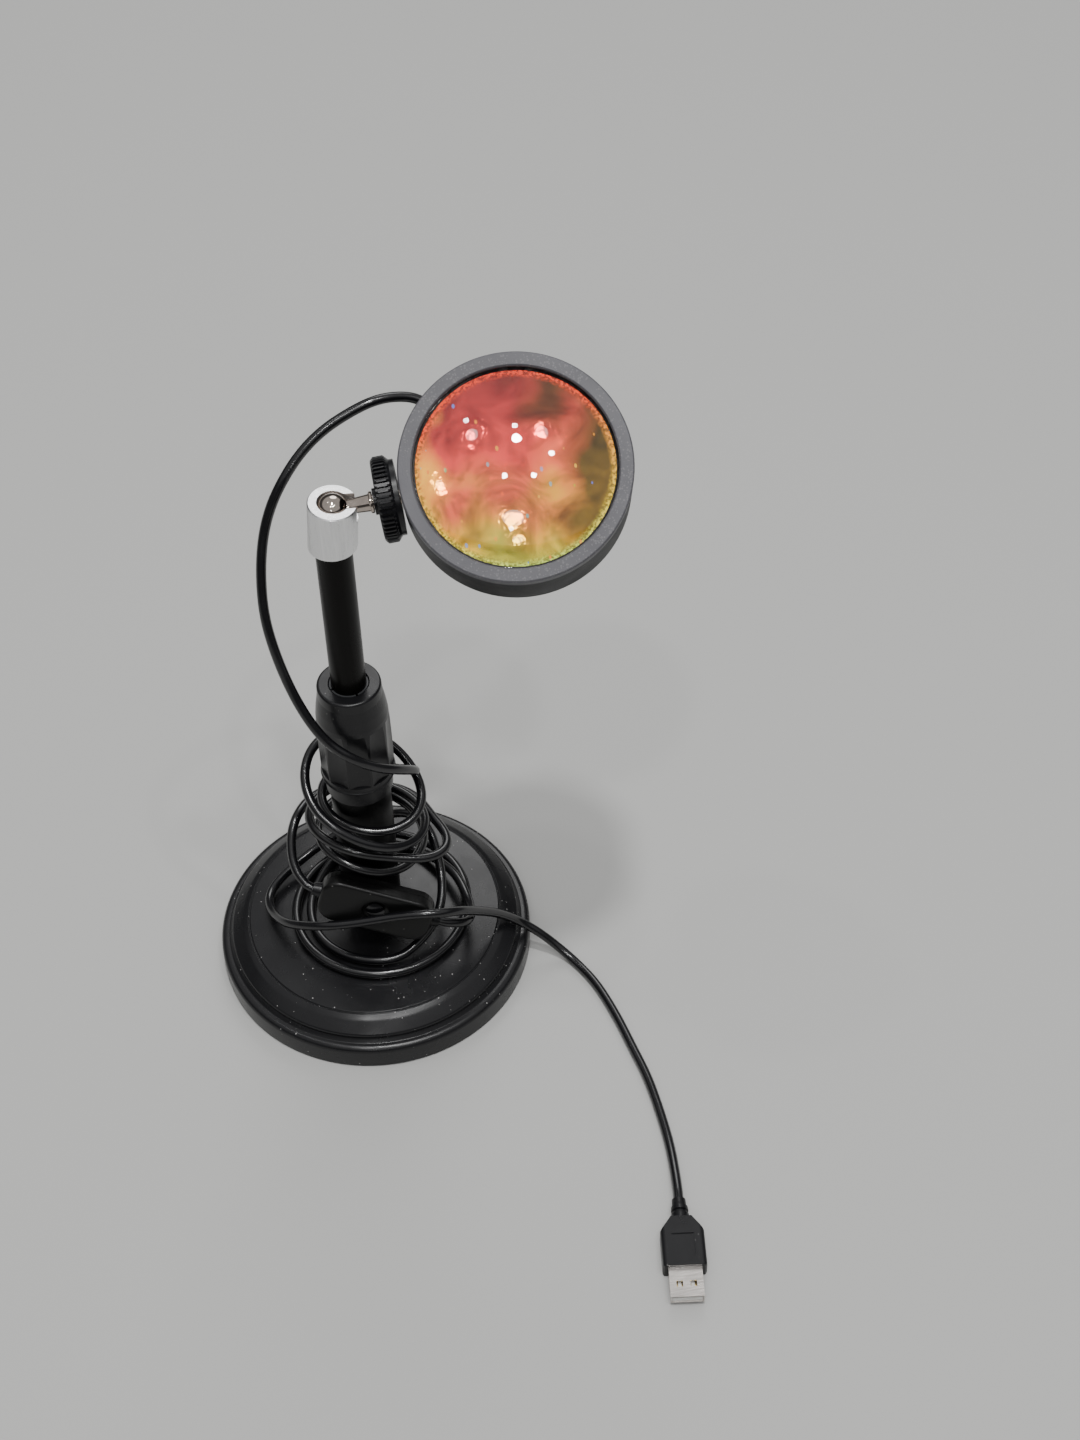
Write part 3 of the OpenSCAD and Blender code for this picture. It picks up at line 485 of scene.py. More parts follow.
def spun(name, section, place, segments, closed=False):
    """Spins a section, in millimetres, about Z and puts the piece where it belongs."""
    bm = bmesh.new()
    verts = [bm.verts.new((x * MM, 0, z * MM)) for x, z in section]
    edges = [bm.edges.new(pair) for pair in zip(verts, verts[1:])]
    if closed:
        edges.append(bm.edges.new((verts[-1], verts[0])))
    bmesh.ops.spin(bm, geom=verts + edges, axis=(0, 0, 1), cent=(0, 0, 0), angle=2 * math.pi,
                   steps=segments, use_merge=True)
    bmesh.ops.remove_doubles(bm, verts=bm.verts, dist=1e-7)
    bmesh.ops.recalc_face_normals(bm, faces=bm.faces)
    return finished(name, bm, place)


def finished(name, bm, place):
    """Turns a bmesh into a piece with smooth faces and marked sharp edges."""
    bm.transform(place)
    for face in bm.faces:
        face.smooth = True
    for edge in bm.edges:
        edge.smooth = len(edge.link_faces) != 2 or edge.calc_face_angle(0) < math.radians(SHARP_DEG)
    mesh = bpy.data.meshes.new(name)
    bm.to_mesh(mesh)
    bm.free()
    piece = bpy.data.objects.new(name, mesh)
    bpy.context.scene.collection.objects.link(piece)
    print(name, "has", len(mesh.polygons), "faces")
    return piece


# %% [markdown]
# ## The lens
# The lens is a thick glass dome that sits in the front ring. Its face is part of a sphere, so the
# section is an arc with many steps, and the glass is smooth-shaded: a facet in a lens would show.

# %% Lens dome
EDGE_R = 33.0
EDGE_Z = 8.35
SAG = 7.5
FLANGE_R = 34.6
BACK_Z = 6.6
DOME_STEPS = 40
dome_r = (EDGE_R**2 + SAG**2) / (2 * SAG)
half_angle = math.asin(EDGE_R / dome_r)
dome = []
for i in range(DOME_STEPS + 1):
    a = half_angle * (1 - i / DOME_STEPS)
    dome.append((dome_r * math.sin(a), EDGE_Z + SAG - dome_r + dome_r * math.cos(a)))
lens_section = [(0, BACK_Z), (20, BACK_Z), (FLANGE_R, BACK_Z), (FLANGE_R, EDGE_Z), *dome]
lens = spun("lens_dome", lens_section, at_head, 192)
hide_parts("lens")
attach(lens, "head")

# %% [markdown]
# ## The base cover
# The cover is a steel pressing: a straight rim with a rounded top edge, a narrow ledge, and a low
# dome with one fine groove. Its section follows the CAD solid, with a true radius at each corner.

# %% Base cover
outer = [(61.5, 0.6), (61.5, 10.8), (58.2, 10.8), (56.9, 12.1), (56.9, 13.9), (52.2, 17.3),
         (50.1, 18.4), (49.6, 18.05), (49.1, 18.6), (36, 19.75), (24, 20.45), (12.5, 20.85),
         (12.5, 20.9), (4.1, 20.9), (4.1, 18.7), (24, 18.85), (36, 18.15), (48.4, 16.4),
         (54.5, 11.4), (55.3, 9.2), (58.3, 9.2), (59.9, 7.6), (59.9, 0.6)]
corner_radii = [0, 2.4, 0.5, 0.5, 1.6, 8, 0.15, 0.15, 0.3, 30, 30, 0, 0, 0, 0, 0, 0, 0, 0, 0, 0, 0, 0]
cover = spun("base_cover_skin", rounded(outer, corner_radii, 6), Matrix.Identity(4), 200, closed=True)
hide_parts("base_cover")
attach(cover, "base")

# %% [markdown]
# ## The face of the switch
# The case of the switch has a rounded outline and soft edges. A rectangle with round corners is
# drawn first, with its points an even step apart, so that it can be joined to a round hole.

# %% Outline with round corners
CORNER_STEPS = 16


def round_outline(length, width, radius, count):
    """Points spaced evenly along a rectangle with round corners, from the middle of its right end."""
    corners = [(1, 1, 0), (-1, 1, 90), (-1, -1, 180), (1, -1, 270)]
    line = [Vector((length / 2, 0, 0))]
    for sx, sy, first in corners:
        for k in range(CORNER_STEPS + 1):
            a = math.radians(first + 90 * k / CORNER_STEPS)
            line.append(Vector((sx * (length / 2 - radius) + radius * math.cos(a),
                                sy * (width / 2 - radius) + radius * math.sin(a), 0)))
    line.append(line[0])
    return even_line(line, sum((b - a).length for a, b in zip(line, line[1:])) / count)[:count]


# %% [markdown]
# ### A shell from rings
# The face can be built from the hole outwards: a circle is made once and extruded ring by ring,
# and each new ring is moved onto the next outline. Joining the last ring to the first closes it.

# %% Rings
RING_POINTS = 144


def next_ring(bm, ring, edges):
    """Extrudes a ring of edges, and gives the new ring's points in the same order, and its edges."""
    made = bmesh.ops.extrude_edge_only(bm, edges=edges)["geom"]
    new = {g for g in made if isinstance(g, bmesh.types.BMVert)}
    new_edges = [g for g in made if isinstance(g, bmesh.types.BMEdge) and all(v in new for v in g.verts)]
    mates = [next(e.other_vert(v) for e in v.link_edges if e.other_vert(v) in new) for v in ring]
    return mates, new_edges


def ringed(name, rings, place):
    """A closed shell from rings, each of them ((radius,), height) or ((length, width, radius), height)."""
    bm = bmesh.new()
    bmesh.ops.create_circle(bm, segments=RING_POINTS, radius=1)
    ring = list(bm.verts)
    edges = first_edges = list(bm.edges)
    for i, (shape, height) in enumerate(rings):
        if i:
            ring, edges = next_ring(bm, ring, edges)
        if len(shape) == 1:
            spots = [Vector(on_circle(shape[0], 360 * k / RING_POINTS, 0)) for k in range(RING_POINTS)]
        else:
            spots = round_outline(*shape, RING_POINTS)
        for vert, spot in zip(ring, spots):
            vert.co = Vector((spot.x, spot.y, height)) * MM
    bmesh.ops.bridge_loops(bm, edges=first_edges + edges)
    bmesh.ops.recalc_face_normals(bm, faces=bm.faces)
    return finished(name, bm, place)


# %% [markdown]
# ### The rings of the face
# The rings run up the button's hole and over its raised lip, across the flat, down the soft edge
# in seven small steps, and back along the inside of the case.

# %% Switch face
CASE_L = 43.6
CASE_W = 19.2
CASE_R = 7
SOFT = 1.4
FACE_Z = 5


def case_ring(margin, height):
    """A ring of the case's outline, drawn in by a margin."""
    return ((CASE_L - 2 * margin, CASE_W - 2 * margin, CASE_R - margin), height)


face_rings = [((3.6,), 2.2), ((3.6,), 3.2), ((5.35,), 3.2), ((5.35,), 4.8), ((5.41,), 4.94), ((5.55,), 5.0)]
for k in range(7):
    a = math.radians(15 * k)
    face_rings.append(case_ring(SOFT * (1 - math.sin(a)), FACE_Z - SOFT * (1 - math.cos(a))))
face_rings += [case_ring(0, 0.2), case_ring(0.2, 0), case_ring(1.6, 0), case_ring(1.6, 2.2)]
face_up = Matrix.Rotation(math.radians(90), 4, "X")
switch_face = ringed("switch_face", face_rings, at_switch @ face_up)
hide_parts("switch_front")
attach(switch_face, "base")

# %% [markdown]
# ## Finishes
# Every finish is a Principled shader with a little structure in it. Small helpers add and join
# nodes, and the effects that several finishes share are node groups with named inputs.

# %% Node helpers
FIRST, SECOND = 0, 1  # the sockets of a Math node
FACTOR, LOW, HIGH, RESULT = 0, 6, 7, 2  # the colour sockets of a Mix node


def add_node(tree, kind, values=None, **settings):
    """A node with its settings, and with values in some of its sockets."""
    node = tree.nodes.new(kind)
    for name, value in settings.items():
        setattr(node, name, value)
    for name, value in (values or {}).items():
        node.inputs[name].default_value = value
    return node


def join(tree, source, output, target, socket):
    """A link from one node's output to another's socket."""
    tree.links.new(source.outputs[output], target.inputs[socket])


def new_group(name, inputs, outputs):
    """An empty node group. Inputs are (name, default) pairs, and outputs are (name, kind) pairs."""
    group = bpy.data.node_groups.new(name, "ShaderNodeTree")
    for label, value in inputs:
        entry = group.interface.new_socket(label, in_out="INPUT", socket_type="NodeSocketFloat")
        entry.default_value = value
    for label, kind in outputs:
        group.interface.new_socket(label, in_out="OUTPUT", socket_type=kind)
    return group, group.nodes.new("NodeGroupInput"), group.nodes.new("NodeGroupOutput")


# %% [markdown]
# ### Dust
# Dust is a scatter of tiny light specks, which could also be painted by hand. Here a Voronoi
# pattern puts one in some of its cells, and a soft noise gives more of them to some places.

# %% Group: dust
dust_group, g_in, g_out = new_group(
    "dust", [("Scale", 520.0), ("Amount", 0.3), ("Size", 0.14)], [("Mask", "NodeSocketFloat")])
place = add_node(dust_group, "ShaderNodeTexCoord")
specks = add_node(dust_group, "ShaderNodeTexVoronoi", {"Randomness": 1.0})
spread = add_node(dust_group, "ShaderNodeTexNoise", {"Scale": 30.0, "Detail": 2.0})
chance = add_node(dust_group, "ShaderNodeSeparateColor")
shown = add_node(dust_group, "ShaderNodeMath", operation="LESS_THAN")
patch = add_node(dust_group, "ShaderNodeMapRange",
                 {"From Min": 0.36, "From Max": 0.62, "To Min": 0.05, "To Max": 0.9})
limit = add_node(dust_group, "ShaderNodeMath", operation="MULTIPLY")
near_speck = add_node(dust_group, "ShaderNodeMath", operation="LESS_THAN")
both = add_node(dust_group, "ShaderNodeMath", operation="MULTIPLY")
level = add_node(dust_group, "ShaderNodeMath", operation="MULTIPLY")
join(dust_group, place, "Object", specks, "Vector")
join(dust_group, place, "Object", spread, "Vector")
join(dust_group, g_in, "Scale", specks, "Scale")
join(dust_group, specks, "Color", chance, "Color")
join(dust_group, spread, "Fac", patch, "Value")
join(dust_group, chance, "Red", shown, FIRST)
join(dust_group, patch, "Result", shown, SECOND)
join(dust_group, chance, "Green", limit, FIRST)
join(dust_group, g_in, "Size", limit, SECOND)
join(dust_group, specks, "Distance", near_speck, FIRST)
join(dust_group, limit, "Value", near_speck, SECOND)
join(dust_group, shown, "Value", both, FIRST)
join(dust_group, near_speck, "Value", both, SECOND)
join(dust_group, both, "Value", level, FIRST)
join(dust_group, g_in, "Amount", level, SECOND)
join(dust_group, level, "Value", g_out, "Mask")
print("dust has", len(dust_group.nodes), "nodes")

# %% [markdown]
# ### Grain
# Grain is the skin of moulded plastic or textured paint. It only tilts the surface a little, so a
# fine noise that goes to a bump is enough, and no shape has to change.

# %% Group: grain
grain_group, g_in, g_out = new_group("grain", [("Scale", 2500.0)], [("Height", "NodeSocketFloat")])
place = add_node(grain_group, "ShaderNodeTexCoord")
coarse = add_node(grain_group, "ShaderNodeTexNoise", {"Detail": 2.0, "Roughness": 0.6})
join(grain_group, place, "Object", coarse, "Vector")
join(grain_group, g_in, "Scale", coarse, "Scale")
join(grain_group, coarse, "Fac", g_out, "Height")
print("grain has", len(grain_group.nodes), "nodes")

# %% [markdown]
# ### Handling marks
# Marks are faint, broad patches where hands have changed the gloss. They are a twisted noise that
# is put into a narrow range of roughness.

# %% Group: marks
marks_group, g_in, g_out = new_group(
    "marks", [("Scale", 45.0), ("Low", 0.3), ("High", 0.5)], [("Roughness", "NodeSocketFloat")])
place = add_node(marks_group, "ShaderNodeTexCoord")
smear = add_node(marks_group, "ShaderNodeTexNoise", {"Detail": 4.0, "Roughness": 0.65, "Distortion": 0.6})
to_range = add_node(marks_group, "ShaderNodeMapRange", {"From Min": 0.3, "From Max": 0.7})
join(marks_group, place, "Object", smear, "Vector")
join(marks_group, g_in, "Scale", smear, "Scale")
join(marks_group, smear, "Fac", to_range, "Value")
join(marks_group, g_in, "Low", to_range, "To Min")
join(marks_group, g_in, "High", to_range, "To Max")
join(marks_group, to_range, "Result", g_out, "Roughness")
print("marks has", len(marks_group.nodes), "nodes")

# %% [markdown]
# ### One recipe for painted and moulded surfaces
# The base, the tubes, the grip, the switch and the head differ in colour, gloss and grain, but all
# have the same build-up: a colour with dust on it, marks in the gloss and grain in the normal.
# The low and high values are the range of the roughness, and the grain's depth is in metres.

# %% Recipe for painted and moulded pieces
TONE = 0.18  # how far the colour strays from its mean
DUST_COLOUR = (0.42, 0.41, 0.40, 1)


def coated(name, colour, low, high, grain_scale, grain_depth, dust=0.0, marks_scale=45.0, shine=0.4,
           dust_scale=520.0, dust_size=0.14):
    """A painted or moulded finish."""
    material = bpy.data.materials.new(name)
    material.use_nodes = True
    tree = material.node_tree
    shader = tree.nodes["Principled BSDF"]
    shader.inputs["Specular IOR Level"].default_value = shine
    tone = add_node(tree, "ShaderNodeTexNoise", {"Scale": 18.0, "Detail": 3.0})
    where = add_node(tree, "ShaderNodeTexCoord")
    ramp = add_node(tree, "ShaderNodeMix", data_type="RGBA")
    ramp.inputs[LOW].default_value = (*[c * (1 - TONE) for c in colour], 1)
    ramp.inputs[HIGH].default_value = (*[c * (1 + TONE) for c in colour], 1)
    join(tree, where, "Object", tone, "Vector")
    join(tree, tone, "Fac", ramp, FACTOR)
    specks = add_node(tree, "ShaderNodeGroup", node_tree=dust_group)
    specks.inputs["Amount"].default_value = dust
    specks.inputs["Scale"].default_value = dust_scale
    specks.inputs["Size"].default_value = dust_size
    dusty = add_node(tree, "ShaderNodeMix", data_type="RGBA")
    dusty.inputs[HIGH].default_value = DUST_COLOUR
    join(tree, specks, "Mask", dusty, FACTOR)
    join(tree, ramp, RESULT, dusty, LOW)
    join(tree, dusty, RESULT, shader, "Base Color")
    gloss = add_node(tree, "ShaderNodeGroup", node_tree=marks_group)
    gloss.inputs["Scale"].default_value = marks_scale
    gloss.inputs["Low"].default_value = low
    gloss.inputs["High"].default_value = high
    join(tree, gloss, "Roughness", shader, "Roughness")
    skin = add_node(tree, "ShaderNodeGroup", node_tree=grain_group)
    skin.inputs["Scale"].default_value = grain_scale
    relief = add_node(tree, "ShaderNodeBump", {"Strength": 0.5, "Distance": grain_depth})
    join(tree, skin, "Height", relief, "Height")
    join(tree, relief, "Normal", shader, "Normal")
    return material


# %% [markdown]
# ### Black paints and plastics
# A photo of a black object shows mostly what its blacks mirror. So the colours are all very dark,
# and the pieces differ in their roughness, their shine and the dust on them.

# %% Black finishes
base_paint = coated(
    "base_paint", (0.009, 0.009, 0.010), 0.20, 0.32, 2200, 0.00003, dust=0.85, shine=0.36)
tube_paint = coated(
    "tube_paint", (0.004, 0.004, 0.004), 0.26, 0.38, 2600, 0.00002, shine=0.12)
inner_paint = coated(
    "inner_tube_paint", (0.003, 0.0026, 0.0022), 0.24, 0.34, 1500, 0.00001, shine=0.1)
grip_plastic = coated(
    "grip_plastic", (0.006, 0.006, 0.007), 0.26, 0.36, 3200, 0.00003, dust=0.2, shine=0.35)
nut_plastic = coated(
    "nut_plastic", (0.004, 0.004, 0.005), 0.24, 0.34, 3000, 0.00002, shine=0.34)
head_paint = coated(
    "head_paint", (0.095, 0.093, 0.103), 0.42, 0.56, 2400, 0.0002, dust=0.12, shine=0.35,
    dust_scale=1500, dust_size=0.6)
# Painted shade: the barrel has the head's paint made much darker, for the shade on the side of the head.
barrel_paint_painted_shade = coated(
    "barrel_paint_painted_shade", (0.010, 0.010, 0.011), 0.42, 0.56, 2400, 0.0001, shine=0.15)
housing_plastic = coated(
    "housing_plastic", (0.012, 0.012, 0.013), 0.34, 0.48, 3000, 0.00005)
switch_plastic = coated(
    "switch_plastic", (0.005, 0.005, 0.005), 0.28, 0.38, 3400, 0.00003, dust=0.25, shine=0.25)
button_plastic = coated(
    "button_plastic", (0.004, 0.004, 0.005), 0.12, 0.2, 1200, 0.00001, shine=0.5)
moulded_black = coated(
    "moulded_black", (0.006, 0.006, 0.007), 0.26, 0.38, 2800, 0.00003, dust=0.2, shine=0.3)
cord_jacket = coated(
    "cord_jacket", (0.005, 0.005, 0.006), 0.16, 0.26, 500, 0.00001, marks_scale=120.0, shine=0.6)
print("black finishes are made")

# %% [markdown]
# ### Finishes of the inner pieces
# These pieces are inside the lamp and show only when it is taken apart: nylon, cast iron, foam,
# lacquered boards, the lamp's phosphor and the plug's tongue.

# %% Inner finishes
dark_nylon = coated("dark_nylon", (0.026, 0.027, 0.029), 0.40, 0.55, 2600, 0.00004)
pale_nylon = coated("pale_nylon", (0.70, 0.69, 0.65), 0.38, 0.5, 2400, 0.00004)
cast_weight = coated("cast_weight", (0.075, 0.068, 0.062), 0.65, 0.85, 900, 0.0003)
foot_foam = coated("foot_foam", (0.045, 0.045, 0.048), 0.80, 0.95, 1800, 0.0003)
board_white = coated("board_white", (0.82, 0.82, 0.79), 0.25, 0.35, 1500, 0.00001)
board_green = coated("board_green", (0.03, 0.17, 0.07), 0.25, 0.35, 1500, 0.00001)
phosphor = coated("phosphor", (0.86, 0.62, 0.10), 0.35, 0.45, 3000, 0.00005)
tongue_plastic = coated("tongue_plastic", (0.80, 0.80, 0.77), 0.35, 0.45, 2400, 0.00002)
print("inner finishes are made")


# %% [markdown]
# ### Bare metals
# Turned and brushed metal is made of fine parallel lines. The lines come from a noise that is
# squeezed along one direction, and they change both the roughness and the normal.

# %% Recipe for bare metal
def bare_metal(name, colour, low, high, squeeze, lines, depth, contrast=0.12):
    """A metal with fine lines, squeezed along the axes as given."""
    material = bpy.data.materials.new(name)
    material.use_nodes = True
    tree = material.node_tree
    shader = tree.nodes["Principled BSDF"]
    shader.inputs["Metallic"].default_value = 1.0
    where = add_node(tree, "ShaderNodeTexCoord")
    stretch = add_node(tree, "ShaderNodeMapping", {"Scale": squeeze})
    fine = add_node(tree, "ShaderNodeTexNoise", {"Scale": lines, "Detail": 3.0, "Roughness": 0.6})
    join(tree, where, "Object", stretch, "Vector")
    join(tree, stretch, "Vector", fine, "Vector")
    tint = add_node(tree, "ShaderNodeMix", data_type="RGBA")
    tint.inputs[LOW].default_value = (*[c * (1 - contrast) for c in colour], 1)
    tint.inputs[HIGH].default_value = (*[min(1, c * (1 + contrast)) for c in colour], 1)
    join(tree, fine, "Fac", tint, FACTOR)
    join(tree, tint, RESULT, shader, "Base Color")
    gloss = add_node(tree, "ShaderNodeMapRange",
                     {"From Min": 0.3, "From Max": 0.7, "To Min": low, "To Max": high})
    join(tree, fine, "Fac", gloss, "Value")
    join(tree, gloss, "Result", shader, "Roughness")
    relief = add_node(tree, "ShaderNodeBump", {"Strength": 0.4, "Distance": depth})
    join(tree, fine, "Fac", relief, "Height")
    join(tree, relief, "Normal", shader, "Normal")
    return material


# %% [markdown]
# ### The metals of this lamp
# The socket has the marks of a lathe down its side, the ball is polished nickel with a warm tint,
# and the plug's shell is brushed along its length. The others are plain.

# %% Metal finishes
turned_aluminium = bare_metal(
    "turned_aluminium", (0.86, 0.86, 0.87), 0.24, 0.46, (1, 1, 0.015), 1100, 0.00003, contrast=0.3)
polished_nickel = bare_metal(
    "polished_nickel", (0.46, 0.40, 0.355), 0.05, 0.12, (1, 1, 1), 400, 0.000004)
plain_steel = bare_metal("plain_steel", (0.46, 0.46, 0.47), 0.28, 0.42, (1, 1, 1), 900, 0.00001)
cast_aluminium = bare_metal(
    "cast_aluminium", (0.56, 0.57, 0.58), 0.38, 0.5, (1, 1, 0.1), 1200, 0.00003)
plated_shell = bare_metal("plated_shell", (0.72, 0.68, 0.645), 0.18, 0.3, (0.06, 1, 1), 1800, 0.00001)
contact_gold = bare_metal("contact_gold", (0.86, 0.65, 0.28), 0.2, 0.3, (1, 1, 1), 900, 0.00001)
reflector_metal = bare_metal(
    "reflector_metal", (0.90, 0.90, 0.92), 0.06, 0.14, (1, 1, 1), 500, 0.00001)
print("bare metals are made")

# %% [markdown]
# ### The lens glass
# The glass could be coloured, but on the real lamp it is clear, and all its colour comes from the
# filter right behind it. So the glass stays plain, with only a touch of warmth.

# %% Lens glass
lens_glass = bpy.data.materials.new("lens_glass")
lens_glass.use_nodes = True
glass = lens_glass.node_tree.nodes["Principled BSDF"]
glass.inputs["Base Color"].default_value = (1.0, 0.97, 0.95, 1)
glass.inputs["Roughness"].default_value = 0.0
glass.inputs["IOR"].default_value = 1.5
glass.inputs["Transmission Weight"].default_value = 1.0

# %% [markdown]
# ### More helpers
# The filter blends many colours, so ramps, mixes and changes of range get a helper each.

# %% Node helpers for colour
def ramp_of(tree, stops):
    """A colour ramp from (position, colour) pairs."""
    node = add_node(tree, "ShaderNodeValToRGB")
    elements = node.color_ramp.elements
    while len(elements) < len(stops):
        elements.new(0.5)
    for element, (position, colour) in zip(elements, stops):
        element.position = position
        element.color = (*colour, 1)
    return node


def mixed(tree, factor, low, high):
    """Mixes two colour outputs by a factor output."""
    node = add_node(tree, "ShaderNodeMix", data_type="RGBA")
    tree.links.new(factor, node.inputs[FACTOR])
    tree.links.new(low, node.inputs[LOW])
    tree.links.new(high, node.inputs[HIGH])
    return node.outputs[RESULT]


def ranged(tree, source, low, high, start=0.0, end=1.0):
    """Brings an output from the range low to high into the range start to end."""
    node = add_node(tree, "ShaderNodeMapRange",
                    {"From Min": low, "From Max": high, "To Min": start, "To Max": end})
    tree.links.new(source, node.inputs["Value"])
    return node.outputs["Result"]


# %% [markdown]
# ### The colour filter
# The coating mirrors some colours and lets others through, so the same disc is pink in the middle,
# orange and yellow at one side and olive at the other. Here it is a mirror whose colour changes
# with the place on the disc, which a mapping into the head's own frame gives. The disc also
# emits light in these colours, which is painted light.

# %% Place on the filter
GLASS_R = 0.032

filter_coat_and_painted_light = bpy.data.materials.new("filter_coat_and_painted_light")
filter_coat_and_painted_light.use_nodes = True
tree = filter_coat_and_painted_light.node_tree
shader = tree.nodes["Principled BSDF"]
shader.inputs["Metallic"].default_value = 0.9
shader.inputs["Roughness"].default_value = 0.06
# Painted light: the filter emits its colours and its glints, though it is no lamp.
shader.inputs["Emission Strength"].default_value = 0.85
to_head = at_head.inverted()
where = add_node(tree, "ShaderNodeTexCoord")
on_lens = add_node(tree, "ShaderNodeMapping",
                   {"Rotation": to_head.to_euler(), "Location": to_head.translation})
join(tree, where, "Object", on_lens, "Vector")
sway = add_node(tree, "ShaderNodeTexNoise", {"Scale": 45.0, "Detail": 2.0})
join(tree, where, "Object", sway, "Vector")
apart = add_node(tree, "ShaderNodeSeparateXYZ")
join(tree, on_lens, "Vector", apart, "Vector")
wave = ranged(tree, sway.outputs["Fac"], 0.3, 0.7, -0.010, 0.010)
lens_x = add_node(tree, "ShaderNodeMath", operation="ADD")
join(tree, apart, "X", lens_x, FIRST)
tree.links.new(wave, lens_x.inputs[SECOND])
lens_y = add_node(tree, "ShaderNodeMath", operation="ADD")
join(tree, apart, "Y", lens_y, FIRST)
tree.links.new(wave, lens_y.inputs[SECOND])
print("the filter is coloured to", GLASS_R * 1000, "mm from its middle")

# %% [markdown]
# ### Its colours
# One ramp runs from yellow below to deep red above. Olive covers the right side, amber the left
# edge, and a twisted noise darkens and lightens all of it in patches, as painted reflections.

# %% Colours of the filter
by_height = ramp_of(tree, [
    (0.0, (0.50, 0.46, 0.04)), (0.2, (0.75, 0.36, 0.02)), (0.42, (0.80, 0.13, 0.05)),
    (0.62, (0.78, 0.06, 0.05)), (0.85, (0.42, 0.03, 0.03)), (1.0, (0.25, 0.02, 0.02))])
tree.links.new(ranged(tree, lens_y.outputs["Value"], -GLASS_R, GLASS_R), by_height.inputs["Fac"])
olive = ramp_of(tree, [
    (0.0, (0.26, 0.15, 0.01)), (0.6, (0.07, 0.06, 0.005)), (1.0, (0.05, 0.04, 0.005))])
tree.links.new(ranged(tree, lens_y.outputs["Value"], -0.03, 0.03), olive.inputs["Fac"])
right_part = ranged(tree, lens_x.outputs["Value"], 0.006, 0.025, 0.0, 0.96)
body = mixed(tree, right_part, by_height.outputs["Color"], olive.outputs["Color"])
amber = add_node(tree, "ShaderNodeRGB")
amber.outputs[0].default_value = (1.0, 0.48, 0.02, 1)
left_part = ranged(tree, lens_x.outputs["Value"], -0.018, -0.032, 0.0, 0.75)
body = mixed(tree, left_part, body, amber.outputs[0])
# Painted reflections: the noise makes the colours darker and lighter in patches, as a mirrored room would.
shade = add_node(tree, "ShaderNodeTexNoise", {"Scale": 75.0, "Detail": 4.0, "Distortion": 1.6})
join(tree, where, "Object", shade, "Vector")
shaded = add_node(tree, "ShaderNodeVectorMath", operation="SCALE")
tree.links.new(body, shaded.inputs[0])
tree.links.new(ranged(tree, shade.outputs["Fac"], 0.3, 0.7, 0.45, 1.4), shaded.inputs["Scale"])
body = shaded.outputs["Vector"]
print("colours of the filter are laid")

# %% [markdown]
# ### Its rim
# A narrow rim is painted red above, amber at the side and green below, and a fine noise makes it
# sparkle: painted reflection of the bevelled edge of the glass.

# %% Rim of the filter
RIM_START = 0.0292
RIM_FULL = 0.0312

distance = add_node(tree, "ShaderNodeVectorMath", operation="LENGTH")
flat = add_node(tree, "ShaderNodeCombineXYZ")
join(tree, apart, "X", flat, "X")
join(tree, apart, "Y", flat, "Y")
join(tree, flat, "Vector", distance, "Vector")
# Painted reflection: the rim's colours and sparkle, brighter than a plain colour can be.
painted_rim_colours = ramp_of(tree, [
    (0.0, (0.45, 0.62, 0.12)), (0.25, (0.75, 0.55, 0.03)), (0.6, (0.85, 0.30, 0.02)),
    (0.75, (0.85, 0.07, 0.005)), (1.0, (0.80, 0.04, 0.005))])
tree.links.new(ranged(tree, apart.outputs["Y"], -GLASS_R, GLASS_R), painted_rim_colours.inputs["Fac"])
painted_glitter = add_node(tree, "ShaderNodeTexNoise", {"Scale": 1100.0, "Detail": 2.0})
join(tree, where, "Object", painted_glitter, "Vector")
rim_level = ranged(tree, painted_glitter.outputs["Fac"], 0.4, 0.65, 0.35, 1.6)
rim_lit = add_node(tree, "ShaderNodeVectorMath", operation="SCALE")
join(tree, painted_rim_colours, "Color", rim_lit, FIRST)
tree.links.new(rim_level, rim_lit.inputs["Scale"])
rim_part = ranged(tree, distance.outputs["Value"], RIM_START, RIM_FULL, 0.0, 0.9)
body = mixed(tree, rim_part, body, rim_lit.outputs["Vector"])
tree.links.new(body, shader.inputs["Base Color"])
print("the rim is", round((RIM_FULL - RIM_START) * 1000, 1), "mm wide")

# %% [markdown]
# ### Glints and ripple
# Painted glints of many colours: spots in some cells of a Voronoi pattern, which the disc emits.
# A slight ripple in the disc then breaks up what it mirrors.

# %% Glints on the filter
GLINT_SIZE = 0.14
GLINT_SHARE = 0.45
GLINT_LEVEL = 1.1

# Painted glints: coloured spots that go into the light the filter emits.
skewed = add_node(tree, "ShaderNodeMapping", {"Rotation": (0, 0, 0.7), "Scale": (1.0, 0.6, 1.0)})
join(tree, flat, "Vector", skewed, "Vector")
glint_cells = add_node(tree, "ShaderNodeTexVoronoi", {"Scale": 290.0, "Randomness": 1.0})
join(tree, skewed, "Vector", glint_cells, "Vector")
pick = add_node(tree, "ShaderNodeSeparateColor")
join(tree, glint_cells, "Color", pick, "Color")
near_glint = add_node(tree, "ShaderNodeMath", {SECOND: GLINT_SIZE}, operation="LESS_THAN")
join(tree, glint_cells, "Distance", near_glint, FIRST)
few = add_node(tree, "ShaderNodeMath", {SECOND: GLINT_SHARE}, operation="GREATER_THAN")
join(tree, pick, "Blue", few, FIRST)
glint = add_node(tree, "ShaderNodeMath", operation="MULTIPLY")
join(tree, near_glint, "Value", glint, FIRST)
join(tree, few, "Value", glint, SECOND)
glint_colours = ramp_of(tree, [
    (0.0, (1.0, 0.28, 0.0)), (0.35, (1.0, 0.65, 0.04)), (0.55, (1.0, 0.03, 0.02)),
    (0.75, (0.05, 0.80, 0.0)), (1.0, (0.12, 0.2, 1.0))])
join(tree, pick, "Red", glint_colours, "Fac")
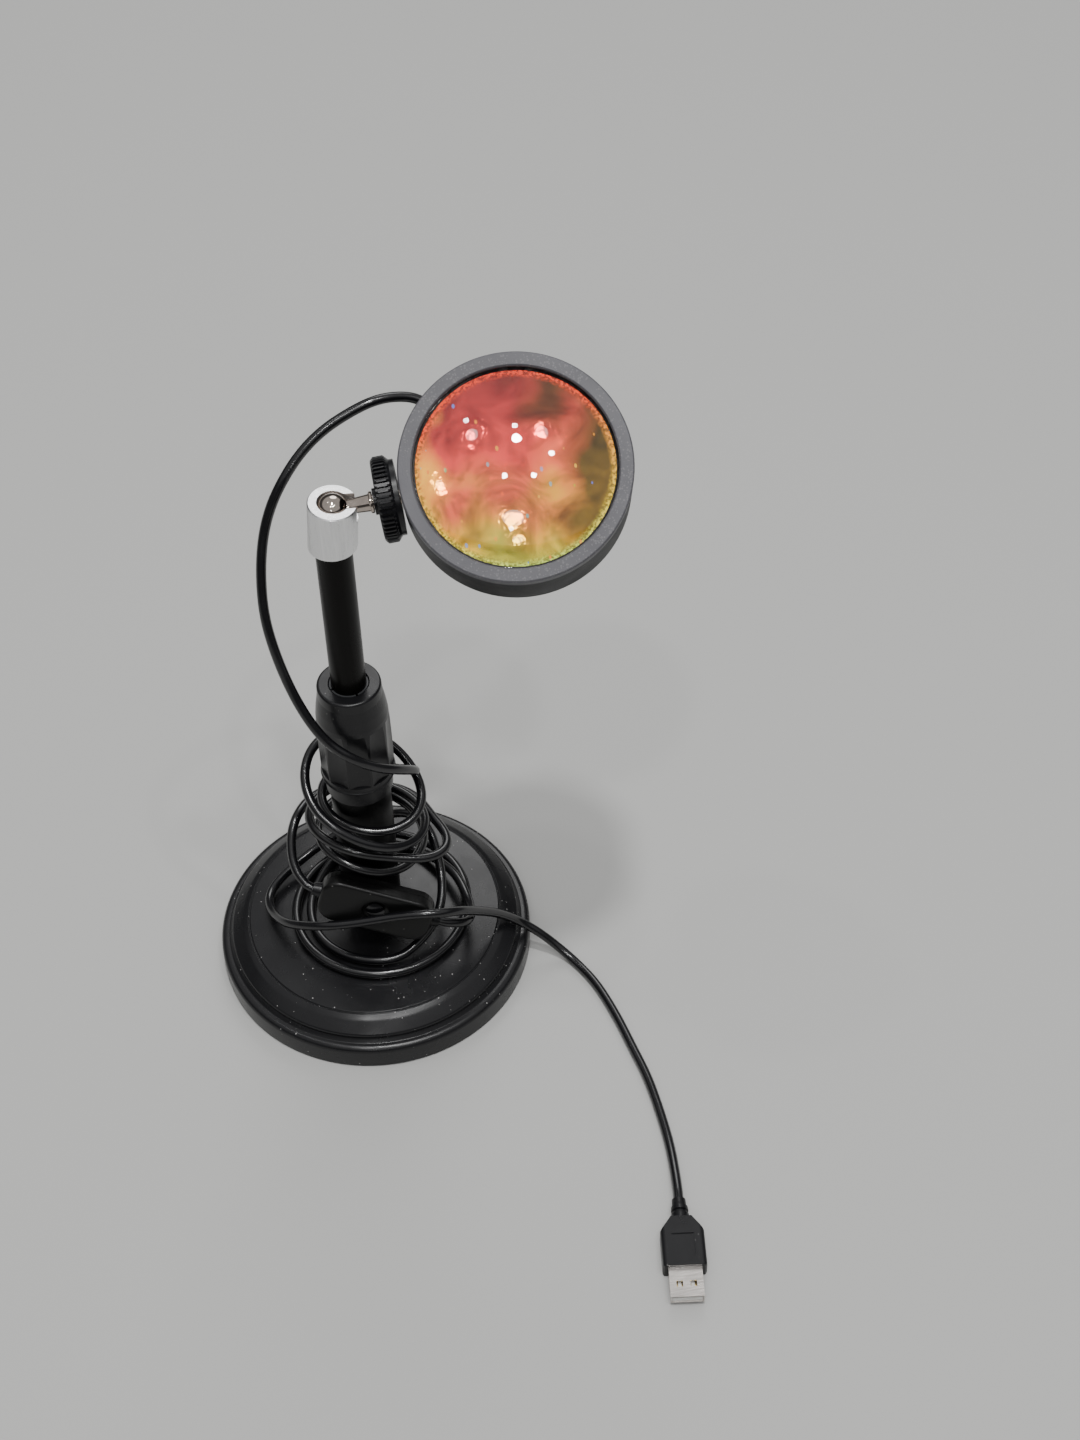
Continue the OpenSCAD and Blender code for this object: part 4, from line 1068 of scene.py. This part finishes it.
bright = add_node(tree, "ShaderNodeVectorMath", {"Scale": GLINT_LEVEL}, operation="SCALE")
join(tree, glint_colours, "Color", bright, FIRST)
painted_glow = mixed(tree, glint.outputs["Value"], body, bright.outputs["Vector"])
tree.links.new(painted_glow, shader.inputs["Emission Color"])
ripple = add_node(tree, "ShaderNodeTexNoise", {"Scale": 160.0, "Detail": 3.0})
join(tree, where, "Object", ripple, "Vector")
uneven = add_node(tree, "ShaderNodeBump", {"Strength": 0.6, "Distance": 0.0002})
join(tree, ripple, "Fac", uneven, "Height")
join(tree, uneven, "Normal", shader, "Normal")
print("filter finish has", len(tree.nodes), "nodes")

# %% [markdown]
# ## Dressing the pieces
# Each CAD node keeps its mesh and gets one of the finishes in its material slot.

# %% Give every piece its finish
finishes = {
    "satin_black_paint": base_paint, "cast_weight": cast_weight, "foot_foam": foot_foam,
    "plain_steel": plain_steel, "black_tube": inner_paint, "grip_plastic": grip_plastic,
    "dark_nylon": dark_nylon, "pale_nylon": pale_nylon, "turned_aluminium": turned_aluminium,
    "polished_nickel": polished_nickel, "nut_plastic": nut_plastic, "charcoal_paint": head_paint,
    "lens_glass": lens_glass, "filter_glass": filter_coat_and_painted_light, "reflector_metal": reflector_metal,
    "board_white": board_white, "phosphor": phosphor, "cast_aluminium": cast_aluminium,
    "cord_jacket": cord_jacket, "moulded_black": moulded_black, "switch_plastic": switch_plastic,
    "board_green": board_green, "plated_shell": plated_shell, "tongue_plastic": tongue_plastic,
    "contact_gold": contact_gold,
}
special = {"lower_tube": tube_paint, "rear_housing": housing_plastic, "head_barrel": barrel_paint_painted_shade,
           "switch_button": button_plastic}
for entry in frame["record"]["subparts"]:
    obj = frame["nodes"][entry["node"]]
    finish = special.get(entry["node"], finishes[entry["material_slot"]])
    for slot in obj.material_slots:
        slot.material = finish
new_pieces = [(lens, lens_glass), (cover, base_paint), (switch_face, switch_plastic)]
new_pieces += [(piece, cord_jacket) for piece in cord_pieces]
for piece, finish in new_pieces:
    piece.data.materials.clear()
    piece.data.materials.append(finish)
print("finishes in use:", len(finishes) + len(special))
